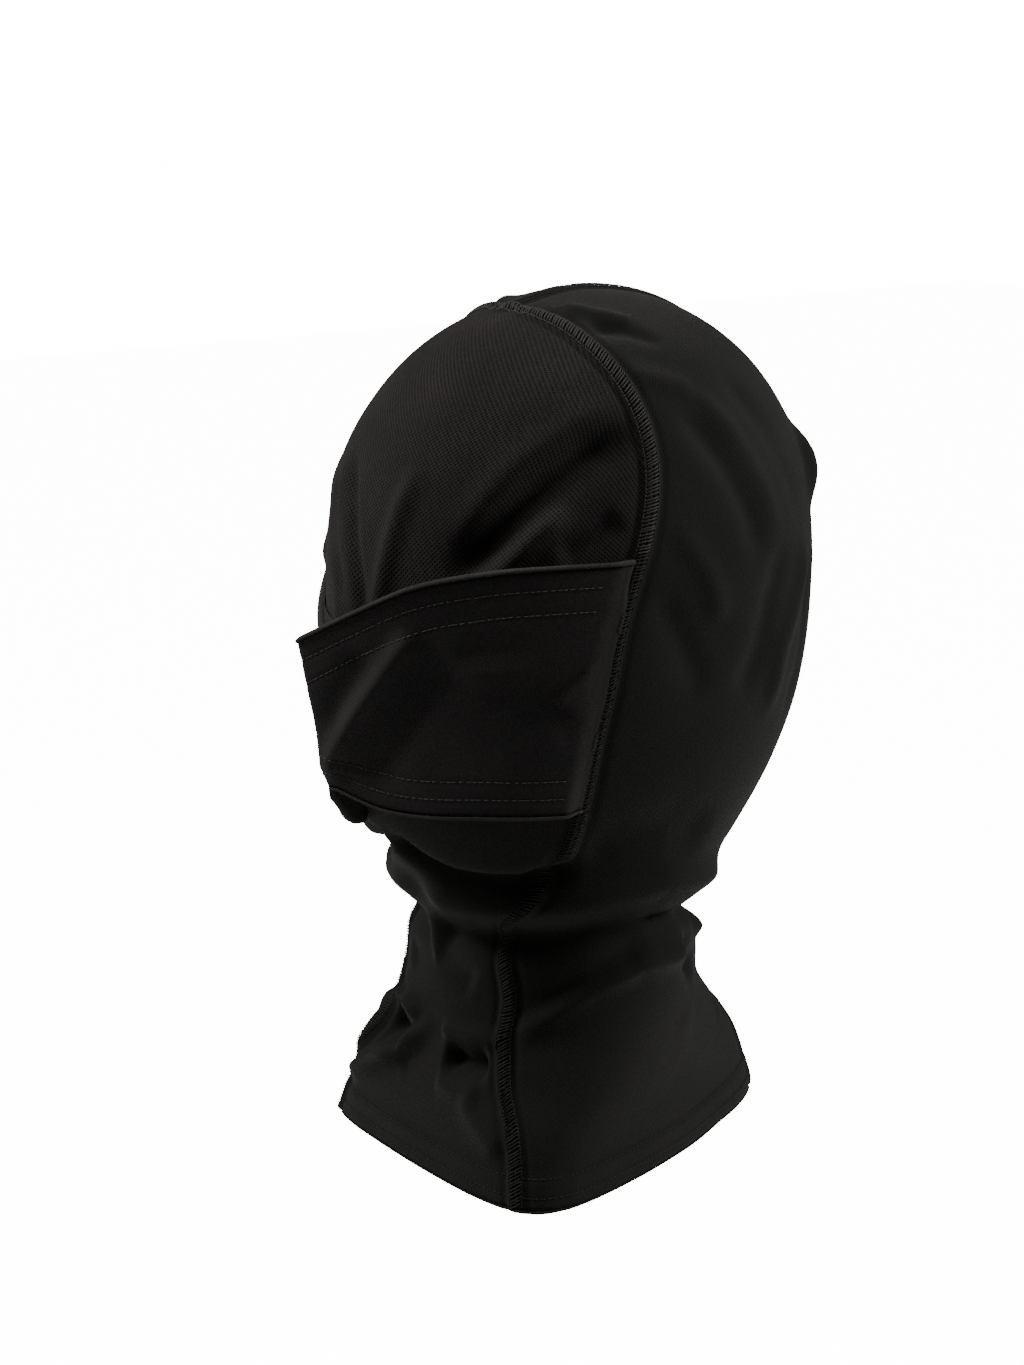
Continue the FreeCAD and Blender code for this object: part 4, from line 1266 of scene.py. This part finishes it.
@dataclass
class Mask:
    """The face mask: jersey, turned-in hems and rows of stitches."""

    wardrobe: Wardrobe
    form: MaskForm
    hood_cloth: BVHTree
    rows: int = 62
    half_columns: int = 74
    hem_depth: float = 18.0
    top_rows: tuple[float, float] = (7.0, 15.5)
    bottom_rows: tuple[float, float] = (6.0, 12.5)
    clear: float = 1.4
    tuck_width: float = 7.0
    behind_seam: float = 1.5
    strip_top: float = 46.0
    strip_fade: float = 18.0
    strip_short: float = 0.2
    strip_sink: float = 0.6
    blend_from: float = -30.0
    blend_to: float = -85.0

    def __post_init__(self) -> None:
        """Shape the mask's outer face."""
        left, away = self.form.side_grid(Side.LEFT, self.rows, self.half_columns)
        right, far_away = self.form.side_grid(Side.RIGHT, self.rows, self.half_columns)
        smooth = np.concatenate([left, right[:, -2::-1]], 1)
        rear = np.concatenate([away, far_away[:, -2::-1]], 1)
        middle = self.half_columns - 1
        near = np.exp(-(np.arange(smooth.shape[1]) - middle) ** 2 / 3.0)[None, :, None]
        mixed = (smooth[:, [middle - 1]] + smooth[:, [middle + 1]]) / 2
        smooth = smooth + (mixed - smooth[:, [middle]]) * near * 0.5
        outward = self.outward(smooth)
        points = smooth.reshape(-1, 3)
        lift = sum(fold.lift(points) for fold in MASK_FOLDS)
        x, y, z = points[:, 0] / 19.0, points[:, 1] / 21.0, points[:, 2] / 17.0
        lift += 0.35 * np.sin(x * 1.3 + 1.4 * np.sin(z)) * np.sin(y * 1.7 + z)
        lift = lift.reshape(rear.shape)
        up = np.concatenate([np.zeros((1, rear.shape[1])),
                             np.cumsum(np.linalg.norm(np.diff(smooth, axis=0), axis=2), axis=0)], 0)
        self.from_bottom, self.from_top = up, up[-1:] - up
        for offset in self.top_rows:
            lift -= 0.30 * np.exp(-((self.from_top - offset) / 1.1) ** 2)
        for offset in self.bottom_rows:
            lift -= 0.30 * np.exp(-((self.from_bottom - offset) / 1.1) ** 2)
        tuck = 1.0 - smooth_step(rear / 6.0)
        self.points = smooth + outward * (lift * (1 - tuck))[..., None]
        self.points = self.keep_clear(self.points, rear)
        along = np.concatenate([away - away[:, -1:], (far_away[:, -1:] - far_away[:, -2::-1])], 1)
        self.flat = np.stack([along, up], -1)
        self.tree = cloth_tree([self.points])

    def outward(self, points: Array) -> Array:
        """Outward normals of a grid of mask points."""
        return -grid_normals(points)

    def keep_clear(self, points: Array, rear: Array) -> Array:
        """Push points off the hood, and bring the rear edge down onto its seam."""
        moved = points.copy()
        for row in range(points.shape[0]):
            for column in range(points.shape[1]):
                point = Vector(points[row, column].tolist())
                place, normal, _, _ = self.hood_cloth.find_nearest(point)
                if normal.dot(Vector((place.x, place.y, 0.0))) < 0:
                    normal = -normal
                height = (point - place).dot(normal)
                if rear[row, column] < self.tuck_width:
                    share = float(smooth_step(np.array(rear[row, column] / self.tuck_width)))
                    moved[row, column] = self.tucked(point).lerp(point, share)
                elif height < self.clear + self.form.cloth:
                    moved[row, column] = point + normal * (self.clear + self.form.cloth - height)
        return moved

    def tucked(self, point: Vector) -> Vector:
        """Where a point of the rear edge lies on the hood, straight out from the mid-plane."""
        side = math.copysign(1.0, point.x)
        line = sorted((z, y) for y, z in self.form.hood.seam_line)
        behind = float(np.interp(point.z, [z for z, _ in line], [y for _, y in line]))
        behind += self.behind_seam
        outside = Vector((side * 2 * self.form.hood.head_half_width, behind, point.z))
        place, _, _, _ = self.hood_cloth.ray_cast(outside, Vector((-side, 0.0, 0.0)))
        # below the brow edge the strip reaches back to the seam, so that it closes the face opening
        reach = float(smooth_step(np.array((self.strip_top - point.z) / self.strip_fade)))
        y = point.y + (self.form.seam_room - self.strip_short) * reach
        heights = np.full(2, point.z)
        smooth = self.form.half_width(heights, np.array([behind, y]))
        width = float(smooth[1] - smooth[0]) + abs(place.x)
        width += self.form.cloth * (1 - self.strip_sink * reach)
        return Vector((side * width, y, point.z))

    def finish(self, piece: bpy.types.Object, material: bpy.types.Material, slot: str, *nodes: str) -> None:
        """Give a piece its material, bake its placement into its mesh and hide the CAD nodes that it
        replaces.
        """
        piece.data.materials.append(material)
        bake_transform(piece)
        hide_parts(*nodes)
        LOG.info("%s bends from the hood to the mask and replaces %s", piece.name, ", ".join(nodes))

    def make_cloth(self) -> None:
        """Build the mask's jersey."""
        parts = MeshParts("mask_cloth")
        parts.sheet(self.points[:, ::-1], self.flat[:, ::-1], self.form.cloth)
        piece = parts.build()
        self.finish(piece, self.wardrobe.mask, "mask_jersey", "mask_panel", "mask_edge_left",
                    "mask_edge_right")
        declare_cloth(self.points)

    def make_hems(self) -> None:
        """Turn the top and bottom edges in, with a rounded fold at each."""
        outs = self.outward(self.points)
        for name, node, rows in (("mask_top_fold", "mask_top_hem", range(self.rows - 1, -1, -1)),
                                 ("mask_bottom_fold", "mask_bottom_hem", range(self.rows))):
            order = list(rows)
            away = self.from_top if order[0] else self.from_bottom
            depth = [row for row in order if away[row].mean() <= self.hem_depth]
            edge, beside = self.points[order[0]], self.points[order[1]]
            out = unit(edge - beside)
            normal = outs[order[0]]
            cloth = self.form.cloth
            lip = [edge + normal * 0.25 + out * 0.1, edge + out * 0.75 + normal * 0.1,
                   edge + out * 1.05 - normal * 0.7, edge + out * 0.9 - normal * 1.6]
            inside = [self.points[row] - outs[row] * (cloth + 0.95) for row in depth]
            wrap = np.stack(lip + inside)
            flat = np.stack(np.meshgrid(self.flat[order[0], :, 0], row_travel(wrap)), -1)
            parts = MeshParts(name)
            if order[0]:
                parts.sheet(wrap, flat, 0.6)
            else:
                parts.sheet(wrap[::-1], flat[::-1], 0.6)
            self.finish(parts.build(), self.wardrobe.mask_edge, "mask_jersey", node)

    def make_stitches(self) -> None:
        """Sew two rows of stitches along each hem."""
        sewing = Sewing(self.tree)
        for name, node, offsets, away in (
                ("mask_top_dashes", "mask_top_stitching", self.top_rows, self.from_top),
                ("mask_bottom_dashes", "mask_bottom_stitching", self.bottom_rows, self.from_bottom)):
            parts = MeshParts(name)
            for offset in offsets:
                line = []
                for column in range(6, self.points.shape[1] - 6):
                    heights = away[:, column]
                    order = np.argsort(heights)
                    line.append([np.interp(offset, heights[order], self.points[order, column, k])
                                 for k in range(3)])
                sewing.dashes(parts, np.array(line))
            self.finish(parts.build(), self.wardrobe.lit_mask_thread, "thread", node)


# ---------------------------------------------------------------------------------------------
# Studio
# ---------------------------------------------------------------------------------------------


@dataclass(frozen=True)
class Studio:
    """A pale paper floor, soft white light all round and the camera."""

    azimuth: float = 55.0
    elevation: float = 14.0
    distance: float = 1.050
    lens: float = 75.3
    floor_drop: float = 0.55
    aim_right: float = -0.0176
    aim_up: float = -0.0101
    backdrop: float = 16.0       # strength of the backdrop as the camera sees it
    ambient: float = 0.10        # strength of the light that the backdrop gives
    light_distance: float = 1.5
    # name, azimuth, elevation, side in metres and power in watts
    lights: tuple[tuple[str, float, float, float, float], ...] = (
        ("key", -34.0, 38.0, 0.5, 34.0),
        ("rim", 148.0, 26.0, 0.5, 30.0),
        ("top", 20.0, 74.0, 0.7, 17.0),
    )

    def make(self) -> None:
        """Set up the floor, the lights and the camera."""
        low, _ = CAD_BOX
        bpy.ops.mesh.primitive_plane_add(size=12.0, location=(0.0, 0.0, low.z - self.floor_drop))
        floor = bpy.context.object
        floor.name = "floor"
        floor.data.materials.append(StudioPaper().make())
        world = bpy.data.worlds.new("studio")
        bpy.context.scene.world = world
        world.use_nodes = True
        background = world.node_tree.nodes["Background"]
        background.inputs["Color"].default_value = (1.0, 1.0, 1.0, 1.0)
        seen = add_node(world.node_tree, "ShaderNodeLightPath")
        strength = math_node(world.node_tree, "MULTIPLY_ADD", seen.outputs["Is Camera Ray"],
                             self.backdrop - self.ambient, self.ambient)
        world.node_tree.links.new(strength, background.inputs["Strength"])
        for light in self.lights:
            self.softbox(*light)
        self.camera()

    def direction(self, azimuth: float, elevation: float) -> Vector:
        """Unit vector from the object towards an azimuth and elevation in degrees."""
        a, e = math.radians(azimuth), math.radians(elevation)
        return Vector((math.sin(a) * math.cos(e), -math.cos(a) * math.cos(e), math.sin(e)))

    def softbox(self, name: str, azimuth: float, elevation: float, size: float, power: float) -> None:
        """Add a square area light that faces the object.

        Args:
            name: Name of the light.
            azimuth: Where it stands round the object, in degrees.
            elevation: How high it stands, in degrees.
            size: Side of the softbox in metres.
            power: Power in watts.
        """
        light = bpy.data.lights.new(name, "AREA")
        light.shape = "SQUARE"
        light.size = size
        light.energy = power
        lamp = bpy.data.objects.new(name, light)
        towards = self.direction(azimuth, elevation)
        lamp.location = towards * self.light_distance
        lamp.rotation_euler = towards.to_track_quat("Z", "Y").to_euler()
        bpy.context.scene.collection.objects.link(lamp)

    def camera(self) -> None:
        """Add the camera, looking a little below and beside the origin."""
        back = self.direction(self.azimuth, self.elevation)
        right = Vector((math.cos(math.radians(self.azimuth)), math.sin(math.radians(self.azimuth)), 0.0))
        up = back.cross(right)
        aim = right * self.aim_right + up * self.aim_up
        lens = bpy.data.cameras.new("camera")
        lens.lens = self.lens
        lens.clip_end = 50.0
        camera = bpy.data.objects.new("camera", lens)
        camera.location = aim + back * self.distance
        camera.rotation_euler = back.to_track_quat("Z", "Y").to_euler()
        bpy.context.scene.collection.objects.link(camera)
        bpy.context.scene.camera = camera


def main() -> None:
    """Build the scene in order and report each piece."""
    logging.basicConfig(level=logging.INFO, format="%(message)s")
    Studio().make()
    wardrobe = Wardrobe()
    form = HoodForm()
    hood = Hood(wardrobe, form, Drape(form))
    hood.make_panels()
    hood.make_seams()
    hood.make_bindings()
    hood.make_hem()
    hood.make_label()
    mask = Mask(wardrobe, MaskForm(form), hood.tree)
    mask.make_cloth()
    mask.make_hems()
    mask.make_stitches()


if __name__ == "__main__":
    main()
